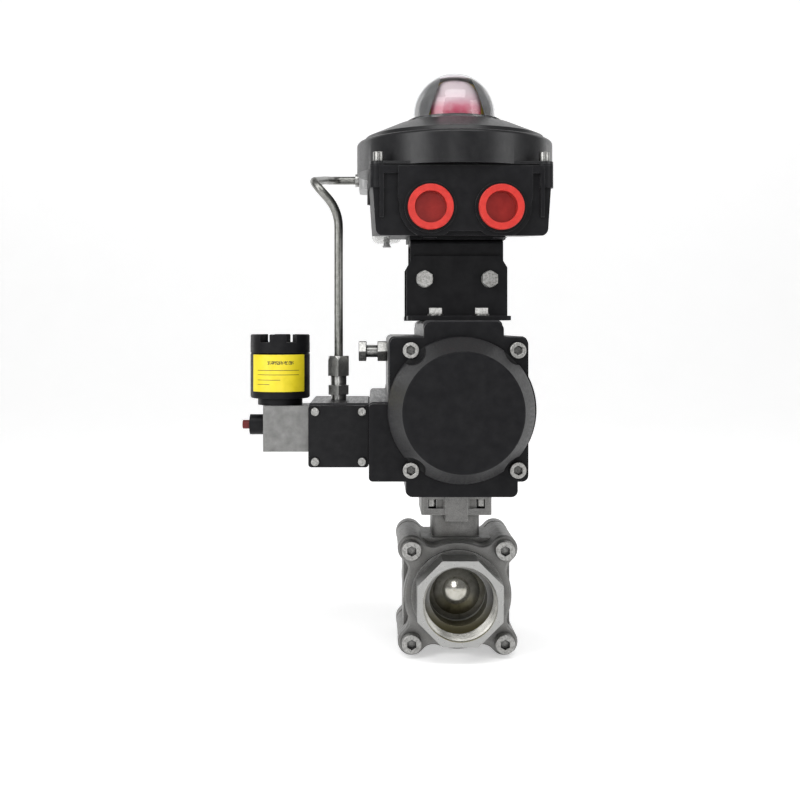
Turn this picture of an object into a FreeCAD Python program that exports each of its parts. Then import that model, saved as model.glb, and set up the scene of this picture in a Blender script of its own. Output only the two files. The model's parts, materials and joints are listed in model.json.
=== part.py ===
"""Pneumatic valve actuator assembly: a three-piece threaded ball valve, a rack-and-pinion
actuator on its ISO 5211 platform, a switch box with a dome indicator on a bracket above,
and a solenoid valve with its air line and filter regulator.

Frame: the pipe runs along Y and the stem along Z. The origin is the centre of the front
pipe port's mouth, so the stem axis stands at Y = half the face-to-face length. Every
sub-part is drawn about the stem axis and then set back by that distance.
"""
import FreeCAD
import Part
import math
import os
import re
import Sketcher
from FreeCAD import Placement, Rotation, Vector

doc = FreeCAD.newDocument("valve_actuator")
sheet = doc.addObject("Spreadsheet::Sheet", "Dims")

# Driving dimensions in millimetres and degrees. Heights are above the pipe axis.
SIZES = {
    # three-piece ball valve, nominal bore 40
    "face_to_face": 120, "bore_rad": 19, "ball_rad": 29, "cavity_rad": 30.5,
    "disc_rad": 35.5, "ear_rad": 9, "ear_reach": 30.5, "web_fillet": 9,
    "core_half": 21.25, "core_side": 35.5, "gasket_thick": 1.5, "flange_thick": 12,
    "octagon_flats": 55, "port_rad": 23.9, "port_depth": 20,
    "seat_rad": 26.5, "seat_back": 26, "seat_nose": 15, "seat_gap": 0.1,
    "valve_bolt_rad": 4, "valve_bolt_head_rad": 6.5, "valve_bolt_head": 8,
    "neck_rad": 16, "arm_low": 51, "plate_low": 61.5,
    "plate_half": 23.5, "plate_hole_rad": 17.5, "iso_pitch": 17.68,
    "stem_rad": 9, "stem_square": 14, "stem_top": 87, "collar_rad": 12,
    "packing_rad": 14, "packing_low": 40, "packing_top": 51,
    # actuator
    "base_top": 72, "cyl_axis": 126, "cyl_rad": 41.5, "shell_rad": 44.5,
    "block_low": 82, "block_top": 170.2, "block_left": 45.5, "block_right": 39.5,
    "boss_top": 181, "boss_half": 24.5, "foot_half": 33,
    "namur_face": 58.3, "namur_top": 129.5, "body_half": 79,
    "cover_thick": 9, "bulge_base": 44.8, "bulge_nose": 36.2, "bulge_high": 27,
    "bulge_shift": -2, "collar_high": 7,
    "cover_screw_x": 32.6, "cover_screw_z": 36.5,
    "piston_inner": 32, "piston_thick": 14, "pinion_teeth": 14, "gear_module": 2,
    "pressure_angle": 20, "gear_play": 0.12,
    "gear_half": 15, "lower_journal": 17.5, "upper_journal": 12,
    "shaft_rad": 9, "shaft_top": 201, "cam_low": 155, "cam_high": 165,
    "cam_rad": 19, "cam_face": 12, "stop_pitch": 13, "stop_height": 160.2,
    "stop_rad": 4,
    # bracket
    "bracket_half": 33.5, "bracket_sheet": 3, "foot_front": 28, "foot_edge": 52,
    "foot_top": 224.3, "yoke_half": 31, "yoke_top": 235, "yoke_reach": 25,
    # switch box
    "box_low": 235, "box_split": 280, "box_half": 58, "box_base_half": 55,
    "box_front": 60, "lug_x": 53.4, "lug_y": 53, "lug_rad": 5.7, "ear_top": 282.8,
    "hood_half": 66.8, "hood_shoulder": 302.5, "hood_top": 318,
    "dome_rad": 28.5, "dome_top": 351, "entry_pitch": 22.5, "entry_shift": 2, "entry_height": 253,
    "box_yaw": 1.2, "bolt_height": 208.5, "entry_rad": 13.2, "plug_rad": 14.6, "plug_hole": 10.2,
    # solenoid valve
    "spool_mid": 105.6, "spool_half": 20, "spool_width": 39.5, "spool_body_half": 38,
    "spool_cover": 8, "pilot_width": 31, "pilot_height": 30.5, "pilot_low": 94,
    "coil_rad": 20, "coil_low": 129, "coil_cap_low": 153, "coil_top": 171.8,
    # air line and regulator
    "tube_rad": 3, "reg_x": 45.5, "reg_y": 92, "reg_half": 21, "reg_low": 280,
    "reg_high": 299, "bowl_rad": 11.2, "bowl_low": 240.5,
}
for row, (alias, number) in enumerate(SIZES.items(), start=1):
    sheet.set(f"A{row}", alias)
    sheet.set(f"B{row}", str(number))
    sheet.setAlias(f"B{row}", alias)
doc.recompute()

NODES = []


def formula(text):
    """A size written with the sheet's aliases, as a FreeCAD expression."""
    def cell(match):
        word = match.group(0)
        return f"Dims.{word}" if word in SIZES else word
    return re.sub(r"[a-z_][a-z_0-9]*", cell, str(text))


def bind(thing, name, text):
    thing.setExpression(name, formula(text))


def number(text):
    return float(sheet.evalExpression(formula(text)))


def place(thing, x, y, z):
    bind(thing, "Placement.Base.x", x)
    bind(thing, "Placement.Base.y", y)
    bind(thing, "Placement.Base.z", z)
    return thing


def block(x0, x1, y0, y1, z0, z1):
    """A box between two corners given as formulas."""
    box = doc.addObject("Part::Box", "block")
    bind(box, "Length", f"({x1}) - ({x0})")
    bind(box, "Width", f"({y1}) - ({y0})")
    bind(box, "Height", f"({z1}) - ({z0})")
    return place(box, x0, y0, z0)


TURN = {
    "X": Rotation(Vector(0, 1, 0), 90),
    "Y": Rotation(Vector(1, 0, 0), -90),
    "Z": Rotation(),
}


def start_point(axis, across, low):
    """Base point of a rod: `across` holds its two other coordinates in X, Y, Z order."""
    first, second = across
    return {
        "X": (low, first, second),
        "Y": (first, low, second),
        "Z": (first, second, low),
    }[axis]


def rod(axis, radius, low, high, across=(0, 0)):
    """A cylinder along an axis from `low` to `high`."""
    cylinder = doc.addObject("Part::Cylinder", "rod")
    bind(cylinder, "Radius", radius)
    bind(cylinder, "Height", f"({high}) - ({low})")
    cylinder.Placement = Placement(Vector(), TURN[axis])
    return place(cylinder, *start_point(axis, across, low))


def taper(axis, radius_low, radius_high, low, high, across=(0, 0)):
    """A frustum along an axis, from its low end to its high end."""
    cone = doc.addObject("Part::Cone", "taper")
    bind(cone, "Radius1", radius_low)
    bind(cone, "Radius2", radius_high)
    bind(cone, "Height", f"({high}) - ({low})")
    cone.Placement = Placement(Vector(), TURN[axis])
    return place(cone, *start_point(axis, across, low))


def hexagon(axis, flats, low, high, across=(0, 0), sides=6):
    """A regular prism along an axis, given by its width across flats."""
    prism = doc.addObject("Part::Prism", "hexagon")
    prism.Polygon = sides
    bind(prism, "Circumradius", f"({flats}) / 2 / cos({180 / sides})")
    bind(prism, "Height", f"({high}) - ({low})")
    spin = Rotation(Vector(0, 0, 1), 180 / sides)
    prism.Placement = Placement(Vector(), TURN[axis].multiply(spin))
    return place(prism, *start_point(axis, across, low))


def ball_at(radius, x=0, y=0, z=0):
    sphere = doc.addObject("Part::Sphere", "sphere")
    bind(sphere, "Radius", radius)
    return place(sphere, x, y, z)


def sketch_on(body, role):
    sketch = body.newObject("Sketcher::SketchObject", "outline")
    plane = next(item for item in body.Origin.OriginFeatures if item.Role == role)
    sketch.AttachmentSupport = [(plane, "")]
    sketch.MapMode = "FlatFace"
    return sketch


def draw(sketch, points):
    """A closed outline of straight lines; each corner is held by two driven distances."""
    spots = [Vector(number(u), number(v), 0) for u, v in points]
    count = len(spots)
    for index in range(count):
        line = Part.LineSegment(spots[index], spots[(index + 1) % count])
        sketch.addGeometry(line, False)
    for index in range(count):
        joint = Sketcher.Constraint("Coincident", index, 2, (index + 1) % count, 1)
        sketch.addConstraint(joint)
    for index, pair in enumerate(points):
        for kind, text in zip(("DistanceX", "DistanceY"), pair):
            value = number(text)
            key = sketch.addConstraint(Sketcher.Constraint(kind, -1, 1, index, 1, value))
            sketch.renameConstraint(key, f"{kind}{index}")
            sketch.setExpression(f"Constraints.{kind}{index}", formula(text))


def turned(points, axis="Y"):
    """A Body revolved about the Y or Z axis; points are (radius, height on the axis)."""
    body = doc.addObject("PartDesign::Body", "turned")
    role = "XY_Plane" if axis == "Y" else "XZ_Plane"
    sketch = sketch_on(body, role)
    draw(sketch, points)
    spin = body.newObject("PartDesign::Revolution", "spin")
    spin.Profile = sketch
    spin.ReferenceAxis = (sketch, ["V_Axis"])
    spin.Angle = 360
    return body


def plate(points, role, low, high):
    """A Body padded from an outline, between two heights along the plane's axis.

    XY plane: points (x, y), heights z. XZ plane: points (x, z), heights y.
    YZ plane: points (y, z), heights x.
    """
    body = doc.addObject("PartDesign::Body", "plate")
    sketch = sketch_on(body, role)
    draw(sketch, points)
    pad = body.newObject("PartDesign::Pad", "pad")
    pad.Profile = sketch
    bind(pad, "Length", f"({high}) - ({low})")
    pad.UseCustomVector = True
    pad.Direction = {"XY_Plane": (0, 0, 1), "XZ_Plane": (0, 1, 0), "YZ_Plane": (1, 0, 0)}[role]
    pad.AlongSketchNormal = False
    axis = {"XY_Plane": "z", "XZ_Plane": "y", "YZ_Plane": "x"}[role]
    bind(body, f"Placement.Base.{axis}", low)
    return body


def join(shapes, refine=True):
    """One solid from overlapping shapes."""
    shapes = list(shapes)
    if len(shapes) == 1:
        return shapes[0]
    fused = doc.addObject("Part::MultiFuse", "joined")
    fused.Shapes = shapes
    fused.Refine = refine
    return fused


def group(shapes):
    """Separate solids that share a node."""
    compound = doc.addObject("Part::Compound", "group")
    compound.Links = list(shapes)
    return compound


def carve(base, tools, refine=True):
    """The base with the tools cut away."""
    tools = list(tools)
    cut = doc.addObject("Part::Cut", "carved")
    cut.Base = base
    cut.Tool = tools[0] if len(tools) == 1 else group(tools)
    cut.Refine = refine
    return cut


def overlap(first, second):
    common = doc.addObject("Part::MultiCommon", "overlap")
    common.Shapes = [first, second]
    return common


def edges_where(shape, test):
    return [index for index, edge in enumerate(shape.Edges, start=1) if test(edge)]


def soften(base, size, test, flat=False):
    """Fillets (or chamfers) on the base's edges chosen by a test."""
    doc.recompute()
    tool = doc.addObject("Part::Chamfer" if flat else "Part::Fillet", "softened")
    tool.Base = base
    value = number(size)
    tool.Edges = [(index, value, value) for index in edges_where(base.Shape, test)]
    doc.recompute()
    if tool.Shape.isNull() or not tool.Shape.isValid():
        raise RuntimeError(f"softening failed on {base.Name}")
    return tool


def runs(edge, axis):
    """True for a straight edge parallel to an axis."""
    if edge.Curve.TypeId != "Part::GeomLine":
        return False
    along = edge.Curve.Direction
    return abs(getattr(along, axis)) > 0.999


def middle(edge):
    return edge.CenterOfMass


def solid_from(shape):
    """A sub-part whose form is worked out in code from the sheet's sizes."""
    feature = doc.addObject("Part::Feature", "formed")
    feature.Shape = shape
    return feature


def finish(label, thing, yaw=False):
    """Give a sub-part its name and set it back from the stem axis to the port's mouth.

    The switch box sits turned a few degrees about the stem, so its pieces ask for the yaw.
    """
    thing.Label = label
    if yaw:
        turn_with_box(thing)
    bind(thing, "Placement.Base.y", "face_to_face / 2")
    NODES.append(thing)


def turn_with_box(thing):
    thing.Placement = Placement(Vector(), Rotation(Vector(0, 0, 1), number("box_yaw")))
    return thing


CORNERS = [(-1, -1), (-1, 1), (1, -1), (1, 1)]


# --- Ball valve -------------------------------------------------------------------------

def lobed(low, high, extra=0):
    """The four-eared outline of the flanges: a disc with a bolt ear on each diagonal."""
    disc = rod("Y", f"disc_rad + {extra}", low, high)
    shapes = [disc]
    for i, j in CORNERS:
        ear_x, ear_z = f"{i} * ear_reach", f"{j} * ear_reach"
        shapes.append(rod("Y", f"ear_rad + {extra}", low, high, (ear_x, ear_z)))
    for turn in (45, -45):
        arm = doc.addObject("Part::Box", "arm")
        bind(arm, "Length", "ear_reach * 2 * sqrt(2)")
        bind(arm, "Width", f"({high}) - ({low})")
        bind(arm, "Height", f"ear_rad * 2 + {extra} * 2")
        spin = Rotation(Vector(0, 1, 0), turn)
        half = Vector(number("ear_reach * sqrt(2)"), 0, number("ear_rad") + extra)
        arm.Placement = Placement(spin.multVec(half * -1), spin)
        bind(arm, "Placement.Base.y", low)
        shapes.append(arm)
    star = join(shapes)
    rim = number(f"disc_rad + {extra}")
    return soften(star, "web_fillet", lambda edge: runs(edge, "y")
                  and abs(math.hypot(middle(edge).x, middle(edge).z) - rim) < 0.01)


def valve_holes(low, high, radius="valve_bolt_rad + 0.4"):
    return [
        rod("Y", radius, low, high, (f"{i} * ear_reach", f"{j} * ear_reach"))
        for i, j in CORNERS
    ]


def cap(side):
    """A threaded end piece: flange, octagon with the port, and a pocket for the seat."""
    near, far = "core_half + gasket_thick", "core_half + gasket_thick + flange_thick"
    flange = lobed(near, far)
    octagon = hexagon("Y", "octagon_flats", f"{near} + 1", "face_to_face / 2", sides=8)
    hub = rod("Y", "disc_rad - 5", near, f"{far} + 3")
    tools = [
        rod("Y", "bore_rad", near + " - 1", "face_to_face / 2 + 1"),
        rod("Y", "port_rad", "face_to_face / 2 - port_depth", "face_to_face / 2 + 1"),
        rod("Y", "seat_rad", near + " - 1", "seat_back"),
    ]
    whole = carve(join([flange, octagon, hub]), tools + valve_holes(near + " - 1", far + " + 1"))
    rim = number(far)
    whole = soften(whole, 1.2, lambda edge: abs(middle(edge).y - rim) < 0.01
                   and edge.BoundBox.YLength < 0.01
                   and abs(math.hypot(middle(edge).x, middle(edge).z)) > number("disc_rad") - 12
                   and edge.BoundBox.DiagonalLength > 1
                   and outside_rim(edge), flat=True)
    if side > 0:
        return whole
    turned_round = group([whole])
    turned_round.Placement = Placement(Vector(), Rotation(Vector(0, 0, 1), 180))
    return turned_round


def outside_rim(edge):
    """True for the flange's outer contour: every point lies beyond the hub and bolt holes."""
    hole = number("valve_bolt_rad + 0.4")
    if edge.Curve.TypeId == "Part::GeomCircle" and abs(edge.Curve.Radius - hole) < 0.05:
        return False
    return all(
        math.hypot(point.x, point.z) > number("disc_rad") - 0.05
        for point in edge.discretize(5)
    )


# The middle piece: lobed core, spherical cavity, stem neck and the actuator platform.
square = block("-core_side", "core_side", "-core_half", "core_half", "-core_side", "core_side")
ears = [
    rod("Y", "ear_rad - 0.2", "-core_half", "core_half", (f"{i} * ear_reach", f"{j} * ear_reach"))
    for i, j in CORNERS
]
core = join([square] + ears)
tower = block("-neck_rad", "neck_rad", "-neck_rad", "neck_rad", "25", "arm_low + 1")
tower = soften(tower, 4, lambda edge: runs(edge, "z"))
platform = block("-plate_half", "plate_half", "-plate_half", "plate_half", "arm_low", "base_top")
platform = soften(platform, 2, lambda edge: runs(edge, "z"))
tongues = [
    block("-7.5", "7.5", low, high, "arm_low - 4", "base_top")
    for low, high in (("-plate_half - 1.4", "-neck_rad + 1"), ("neck_rad - 1", "plate_half + 1.4"))
]
windows = []
for i, j in CORNERS:
    x0, x1 = ("8.5", "19") if i > 0 else ("-19", "-8.5")
    y0, y1 = ("plate_half - 3", "plate_half + 3") if j > 0 else ("-plate_half - 3", "-plate_half + 3")
    spot = (f"{i} * iso_pitch", f"{j} * iso_pitch")
    windows.append(block(x0, x1, y0, y1, "arm_low + 4.3", "plate_low"))
    windows.append(rod("Z", "5", "arm_low + 4.3", "plate_low", spot))
    windows.append(rod("Z", "3.2", "plate_low - 1", "base_top + 1", spot))
core_tools = [
    rod("Y", "cavity_rad", "-core_half - 1", "core_half + 1"),
    rod("Z", "stem_rad + 0.1", "20", "packing_low + 1"),
    rod("Z", "packing_rad", "packing_low", "packing_top + 0.1"),
    rod("Z", "plate_hole_rad", "packing_top", "base_top + 1"),
    rod("Z", "collar_rad + 0.4", "20", "ball_rad + 1.9"),
]
finish("valve_body", carve(
    join([core, tower, platform] + tongues),
    core_tools + windows + valve_holes("-core_half - 1", "core_half + 1"),
))
finish("port_cap_front", cap(-1))
finish("port_cap_rear", cap(1))

# Flat seals between the flanges, the stem packing, and the seat rings that hold the ball.
seals = []
for side in (-1, 1):
    low, high = ("core_half", "core_half + gasket_thick")
    if side < 0:
        low, high = ("-core_half - gasket_thick", "-core_half")
    ring = carve(rod("Y", "disc_rad - 1.5", low, high), [rod("Y", "cavity_rad", "-40", "40")])
    seals.append(ring)
seals.append(carve(
    rod("Z", "packing_rad - 0.05", "packing_low", "packing_top"),
    [rod("Z", "stem_rad + 0.05", "30", "60")],
))
finish("valve_seals", group(seals))

seat_touch = number("ball_rad + seat_gap")
seats = []
for side in (-1, 1):
    ring = turned([
        ("bore_rad", f"{side} * seat_back"),
        ("seat_rad - 0.05", f"{side} * seat_back"),
        ("seat_rad - 0.05", f"{side} * seat_nose"),
        ("bore_rad", f"{side} * seat_nose"),
    ])
    seats.append(carve(ring, [ball_at("ball_rad + seat_gap")]))
finish("seat_rings", group(seats))

bolts, nuts = [], []
for i, j in CORNERS:
    spot = (f"{i} * ear_reach", f"{j} * ear_reach")
    face = "core_half + gasket_thick + flange_thick"
    shank = rod("Y", "valve_bolt_rad", f"-({face}) - 1", f"{face} + 9", spot)
    head = rod("Y", "valve_bolt_head_rad", f"-({face}) - valve_bolt_head", f"-({face})", spot)
    socket = hexagon("Y", "6", f"-({face}) - valve_bolt_head - 1", f"-({face}) - 4", spot)
    head = soften(head, 0.8, lambda edge: middle(edge).y < number(f"-({face})") - 7.9)
    bolts.append(carve(join([shank, head]), [socket]))
    nut = hexagon("Y", "13", face, f"{face} + 6.5", spot)
    nuts.append(carve(nut, [rod("Y", "valve_bolt_rad + 0.03", "0", "60", spot)]))
finish("body_bolts", group(bolts))
finish("body_nuts", group(nuts))

gland_rim = rod("Z", "packing_rad", "packing_top", "packing_top + 1.5")
gland_head = hexagon("Z", "24", "packing_top + 1", "packing_top + 7")
finish("gland_nut", carve(join([gland_rim, gland_head]), [rod("Z", "stem_rad + 0.05", "45", "65")]))

pad_bolts = []
for i, j in CORNERS:
    spot = (f"{i} * iso_pitch", f"{j} * iso_pitch")
    head = rod("Z", "4.6", "plate_low - 5", "plate_low", spot)
    socket = hexagon("Z", "4", "plate_low - 6", "plate_low - 2.5", spot)
    shank = rod("Z", "3", "plate_low - 1", "base_top + 9", spot)
    pad_bolts.append(carve(join([head, shank]), [socket]))
finish("pad_bolts", group(pad_bolts))

# --- Drive train ------------------------------------------------------------------------
# Closed at rest: the bore of the ball lies across the pipe.
sphere = ball_at("ball_rad")
flats = block("-30", "30", "-30", "30", "ball_rad - 1.5", "ball_rad + 5")
finish("ball", carve(sphere, [
    rod("X", "bore_rad", "-35", "35"),
    flats,
    block("-4.1", "4.1", "-11", "11", "ball_rad - 7", "ball_rad + 1"),
]))

key = overlap(block("-4", "4", "-9", "9", "ball_rad - 6.5", "ball_rad"), rod("Z", "9", "20", "35"))
lower = rod("Z", "collar_rad", "ball_rad - 1.4", "ball_rad + 1.4")
post = rod("Z", "stem_rad", "ball_rad - 1", "58")
square = overlap(
    block("-stem_square / 2", "stem_square / 2", "-stem_square / 2", "stem_square / 2",
          "57", "stem_top"),
    rod("Z", "stem_rad", "50", "stem_top"),
)
finish("valve_stem", join([key, lower, post, square]))


def involute(angle):
    return math.tan(angle) - angle


def gear_points():
    """Outline of the involute pinion; its flanks are radial below the base circle."""
    teeth = int(number("pinion_teeth"))
    module = number("gear_module")
    pressure = math.radians(number("pressure_angle"))
    pitch = teeth * module / 2
    base = pitch * math.cos(pressure)
    tip = pitch + 0.95 * module
    thickness = math.pi * module / 2 - number("gear_play")
    radii = [base + (tip - base) * share for share in (0, 0.12, 0.3, 0.5, 0.75, 1)]
    rows = [
        (radius, thickness / 2 / pitch + involute(pressure) - involute(math.acos(base / radius)))
        for radius in radii
    ]
    rows.insert(0, (pitch - 1.25 * module, rows[0][1]))
    points = []
    for tooth in range(teeth):
        centre = 2 * math.pi * tooth / teeth
        flank = [(radius, centre - half) for radius, half in rows]
        back = [(radius, centre + half) for radius, half in reversed(rows)]
        points += [
            Vector(radius * math.cos(angle), radius * math.sin(angle), 0)
            for radius, angle in flank + back
        ]
    return points


outline = gear_points()
gear_wire = Part.makePolygon(outline + [outline[0]])
gear_face = Part.Face(gear_wire)
gear_low = number("cyl_axis - gear_half")
gear_body = gear_face.extrude(Vector(0, 0, number("gear_half * 2")))
gear_body.translate(Vector(0, 0, gear_low))
gear = solid_from(gear_body)
shaft_parts = [
    gear,
    rod("Z", "lower_journal", "base_top + 1", "block_low + 3"),
    rod("Z", "11", "block_low + 2", "block_top"),
    rod("Z", "upper_journal", "block_top - 2", "boss_top"),
    rod("Z", "shaft_rad", "boss_top - 1", "shaft_top"),
]
finish("pinion_shaft", carve(join(shaft_parts), [
    block("-stem_square / 2 - 0.05", "stem_square / 2 + 0.05", "-stem_square / 2 - 0.05",
          "stem_square / 2 + 0.05", "base_top - 5", "stem_top + 2"),
    block("-2.2", "2.2", "-12", "12", "shaft_top - 5", "shaft_top + 1"),
    rod("Z", "stem_rad + 0.6", "base_top - 5", "base_top + 2"),
]))


def cam_shape():
    """Stop cam: a disc whose two flats meet the stop bolts at 0 and 90 degrees."""
    reach, flat = number("cam_rad"), number("cam_face")
    side = math.sqrt(reach ** 2 - flat ** 2)
    start = Vector(-flat, -side, 0)
    end = Vector(side, flat, 0)
    far = Vector(reach * math.cos(math.radians(-45)), reach * math.sin(math.radians(-45)), 0)
    near = Vector(flat * math.cos(math.radians(135)), flat * math.sin(math.radians(135)), 0)
    edges = [
        Part.Arc(start, far, end).toShape(),
        Part.LineSegment(end, Vector(0, flat, 0)).toShape(),
        Part.Arc(Vector(0, flat, 0), near, Vector(-flat, 0, 0)).toShape(),
        Part.LineSegment(Vector(-flat, 0, 0), start).toShape(),
    ]
    face = Part.Face(Part.Wire(edges))
    shape = face.extrude(Vector(0, 0, number("cam_high - cam_low")))
    shape.translate(Vector(0, 0, number("cam_low")))
    return shape


finish("stop_cam", carve(solid_from(cam_shape()), [rod("Z", "11", "cam_low - 1", "cam_high + 1")]))

# --- Actuator ---------------------------------------------------------------------------


def actuator_slab(low, high, grow=0):
    """The extruded section of the body and the covers between two lengths."""
    main = block(f"-block_left - {grow}", f"block_right + {grow}", low, high,
                 f"block_low - {grow}", f"block_top + {grow}")
    main = soften(main, 4, lambda edge: runs(edge, "y"))
    barrel = rod("Y", f"shell_rad + {grow}", low, high, ("0", "cyl_axis"))
    pad = block("-namur_face", "-block_left + 5", low, high, "block_low", f"namur_top + {grow}")
    pad = soften(pad, 2.5, lambda edge: runs(edge, "y") and middle(edge).x < -50)
    return [main, barrel, pad]


boss = block("-boss_half", "boss_half", "-body_half", "body_half", "block_top - 6", "boss_top")
boss = soften(boss, 3, lambda edge: runs(edge, "y") and middle(edge).z > number("boss_top") - 1)
foot = block("-foot_half - 2.5", "foot_half", "-body_half", "body_half", "base_top", "block_low + 5")
foot = soften(foot, 3, lambda edge: runs(edge, "y") and middle(edge).z < number("base_top") + 1)
ports = [
    rod("X", "3", "-namur_face - 1", "-38", (f"{offset}", "spool_mid"))
    for offset in ("-12", "12")
]
screw_spots = [
    (f"{i} * cover_screw_x", f"cyl_axis + {j} * cover_screw_z") for i, j in CORNERS
]
body_tools = [
    rod("Y", "cyl_rad", "-body_half - 1", "body_half + 1", ("0", "cyl_axis")),
    rod("Z", "lower_journal + 2", "base_top - 1", "cyl_axis"),
    rod("Z", "upper_journal + 2", "cyl_axis", "boss_top + 1"),
    rod("Z", "cam_rad + 1.5", "cyl_axis", "cam_high + 1.5"),
]
body_tools += ports
for spot in screw_spots:
    body_tools.append(rod("Y", "3", "-body_half - 1", "-body_half + 16", spot))
    body_tools.append(rod("Y", "3", "body_half - 16", "body_half + 1", spot))
for offset in ("-stop_pitch", "stop_pitch"):
    body_tools.append(rod("X", "stop_rad", "-block_left - 1", "-10", (offset, "stop_height")))
for i, j in CORNERS:
    spot = (f"{i} * iso_pitch", f"{j} * iso_pitch")
    body_tools.append(rod("Z", "3", "base_top - 1", "base_top + 9.5", spot))
    spot = (f"{i} * 15", f"{j} * 40")
    body_tools.append(rod("Z", "3", "boss_top - 10", "boss_top + 1", spot))
finish("actuator_body", carve(
    join(actuator_slab("-body_half", "body_half", 0.8) + [boss, foot]), body_tools,
))


def cover(side):
    """An end cover: flat flange, blunt cone, and a hollow that houses the springs."""
    flange_end = "body_half + cover_thick"
    slab = actuator_slab("body_half + 0.8", flange_end)
    neck = block("-boss_half", "boss_half", "body_half + 0.8", flange_end, "block_top - 6",
                 "boss_top - 1")
    neck = soften(neck, 5, lambda edge: runs(edge, "y") and middle(edge).z > number("boss_top") - 3)
    heel = block("-foot_half - 2.5", "foot_half", "body_half + 0.8", flange_end, "base_top + 0.5",
                 "block_low + 5")
    heel = soften(heel, 4, lambda edge: runs(edge, "y") and middle(edge).z < number("base_top") + 2)
    axis = ("bulge_shift", "cyl_axis")
    dome = taper("Y", "bulge_base", "bulge_nose", f"{flange_end} + collar_high",
                 f"{flange_end} + bulge_high", axis)
    step = rod("Y", "bulge_base", f"{flange_end} - 2", f"{flange_end} + collar_high", axis)
    tools = [
        rod("Y", "cyl_rad - 0.5", "body_half - 1", "body_half + 5", ("0", "cyl_axis")),
        rod("Y", "bulge_nose - 4.7", "body_half", f"{flange_end} + bulge_high - 4", ("0", "cyl_axis")),
    ]
    for spot in screw_spots:
        tools.append(rod("Y", "3.3", "body_half - 1", f"{flange_end} + 9", spot))
        tools.append(rod("Y", "8.8", flange_end, f"{flange_end} + bulge_high + 1", spot))
    whole = carve(join(slab + [neck, heel, step, dome]), tools)
    nose = number(f"{flange_end} + bulge_high")
    whole = soften(whole, 1.5, lambda edge: edge.BoundBox.YLength < 0.01
                   and abs(middle(edge).y - nose) < 0.01)
    if side > 0:
        return whole
    twin = doc.addObject("Part::Mirroring", "mirrored")
    twin.Source = whole
    twin.Normal = Vector(0, 1, 0)
    return group([twin])


finish("end_cover_front", cover(-1))
finish("end_cover_rear", cover(1))

cover_screws = []
for side in (-1, 1):
    for spot in screw_spots:
        ends = ("body_half - 12", "body_half + cover_thick + 1")
        head_ends = ("body_half + cover_thick", "body_half + cover_thick + 5.5")
        drive_ends = ("body_half + cover_thick + 2.5", "body_half + cover_thick + 7")
        if side < 0:
            ends, head_ends, drive_ends = (
                tuple(f"-({value})" for value in reversed(pair))
                for pair in (ends, head_ends, drive_ends)
            )
        shank = rod("Y", "3", *ends, spot)
        head = rod("Y", "5", *head_ends, spot)
        recess = hexagon("Y", "5", *drive_ends, spot)
        cover_screws.append(carve(join([shank, head]), [recess]))
finish("end_cover_screws", group(cover_screws))

gaskets = []
for low, high in (("-body_half - 0.8", "-body_half"), ("body_half", "body_half + 0.8")):
    ring = rod("Y", "shell_rad - 0.3", low, high, ("0", "cyl_axis"))
    holes = [rod("Y", "3.3", "-100", "100", spot) for spot in screw_spots]
    gaskets.append(carve(ring, [rod("Y", "cyl_rad", "-100", "100", ("0", "cyl_axis"))] + holes))


def rack_outline():
    """Rack teeth that mesh with the pinion on its -X side; pitch line at the gear radius."""
    module = number("gear_module")
    pitch = number("pinion_teeth * gear_module / 2")
    step = math.pi * module
    back, root = pitch + 14, pitch + 1.25 * module
    tip = pitch - 0.4 * module
    low, high = -number("piston_inner") - 1, number("piston_inner") - 1
    points = [Vector(-back, low, 0), Vector(-root, low, 0)]
    first = math.ceil((low + step) / step)
    last = math.floor((high - step / 2) / step)
    slope = math.tan(math.radians(number("pressure_angle")))
    for index in range(first, last + 1):
        centre = (index + 0.5) * step if pinion_gap_at_pitch() else index * step
        if centre + step / 2 > high:
            break
        half = step / 4 - number("gear_play") / 2
        wide = half + (root - pitch) * slope
        thin = half - (pitch - tip) * slope
        points += [
            Vector(-root, centre - wide, 0),
            Vector(-tip, centre - thin, 0),
            Vector(-tip, centre + thin, 0),
            Vector(-root, centre + wide, 0),
        ]
    points += [Vector(-root, high, 0), Vector(-back, high, 0)]
    return points


def pinion_gap_at_pitch():
    """A pinion tooth points at -X when the tooth count is even, so the rack has a gap there."""
    return int(number("pinion_teeth")) % 2 == 0


def piston(side):
    """A piston: a disc that fills the bore and a rack arm that reaches past the pinion."""
    points = rack_outline()
    wire = Part.makePolygon(points + [points[0]])
    arm = Part.Face(wire).extrude(Vector(0, 0, 28))
    arm.translate(Vector(0, 0, number("cyl_axis") - 14))
    head = rod("Y", "cyl_rad - 0.08", "-piston_inner - piston_thick", "-piston_inner",
               ("0", "cyl_axis"))
    grooves = carve(
        rod("Y", "cyl_rad + 1", "-piston_inner - 9", "-piston_inner - 5.5", ("0", "cyl_axis")),
        [rod("Y", "cyl_rad - 3", "-80", "0", ("0", "cyl_axis"))],
    )
    pockets = [
        rod("Y", "7.8", "-piston_inner - piston_thick - 1", "-piston_inner - piston_thick + 5", spot)
        for spot in SPRING_SPOTS
    ]
    whole = carve(join([head, solid_from(arm)]), [grooves] + pockets)
    return half_turn(whole) if side > 0 else group([whole])


def half_turn(thing):
    """The same shape turned half a turn about the stem axis."""
    turned_round = group([thing])
    turned_round.Placement = Placement(Vector(), Rotation(Vector(0, 0, 1), 180))
    return turned_round


SPRING_SPOTS = [
    (f"{i} * 16", f"cyl_axis + {j} * 16") for i, j in CORNERS
]
finish("piston_front", piston(-1))
finish("piston_rear", piston(1))


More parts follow.
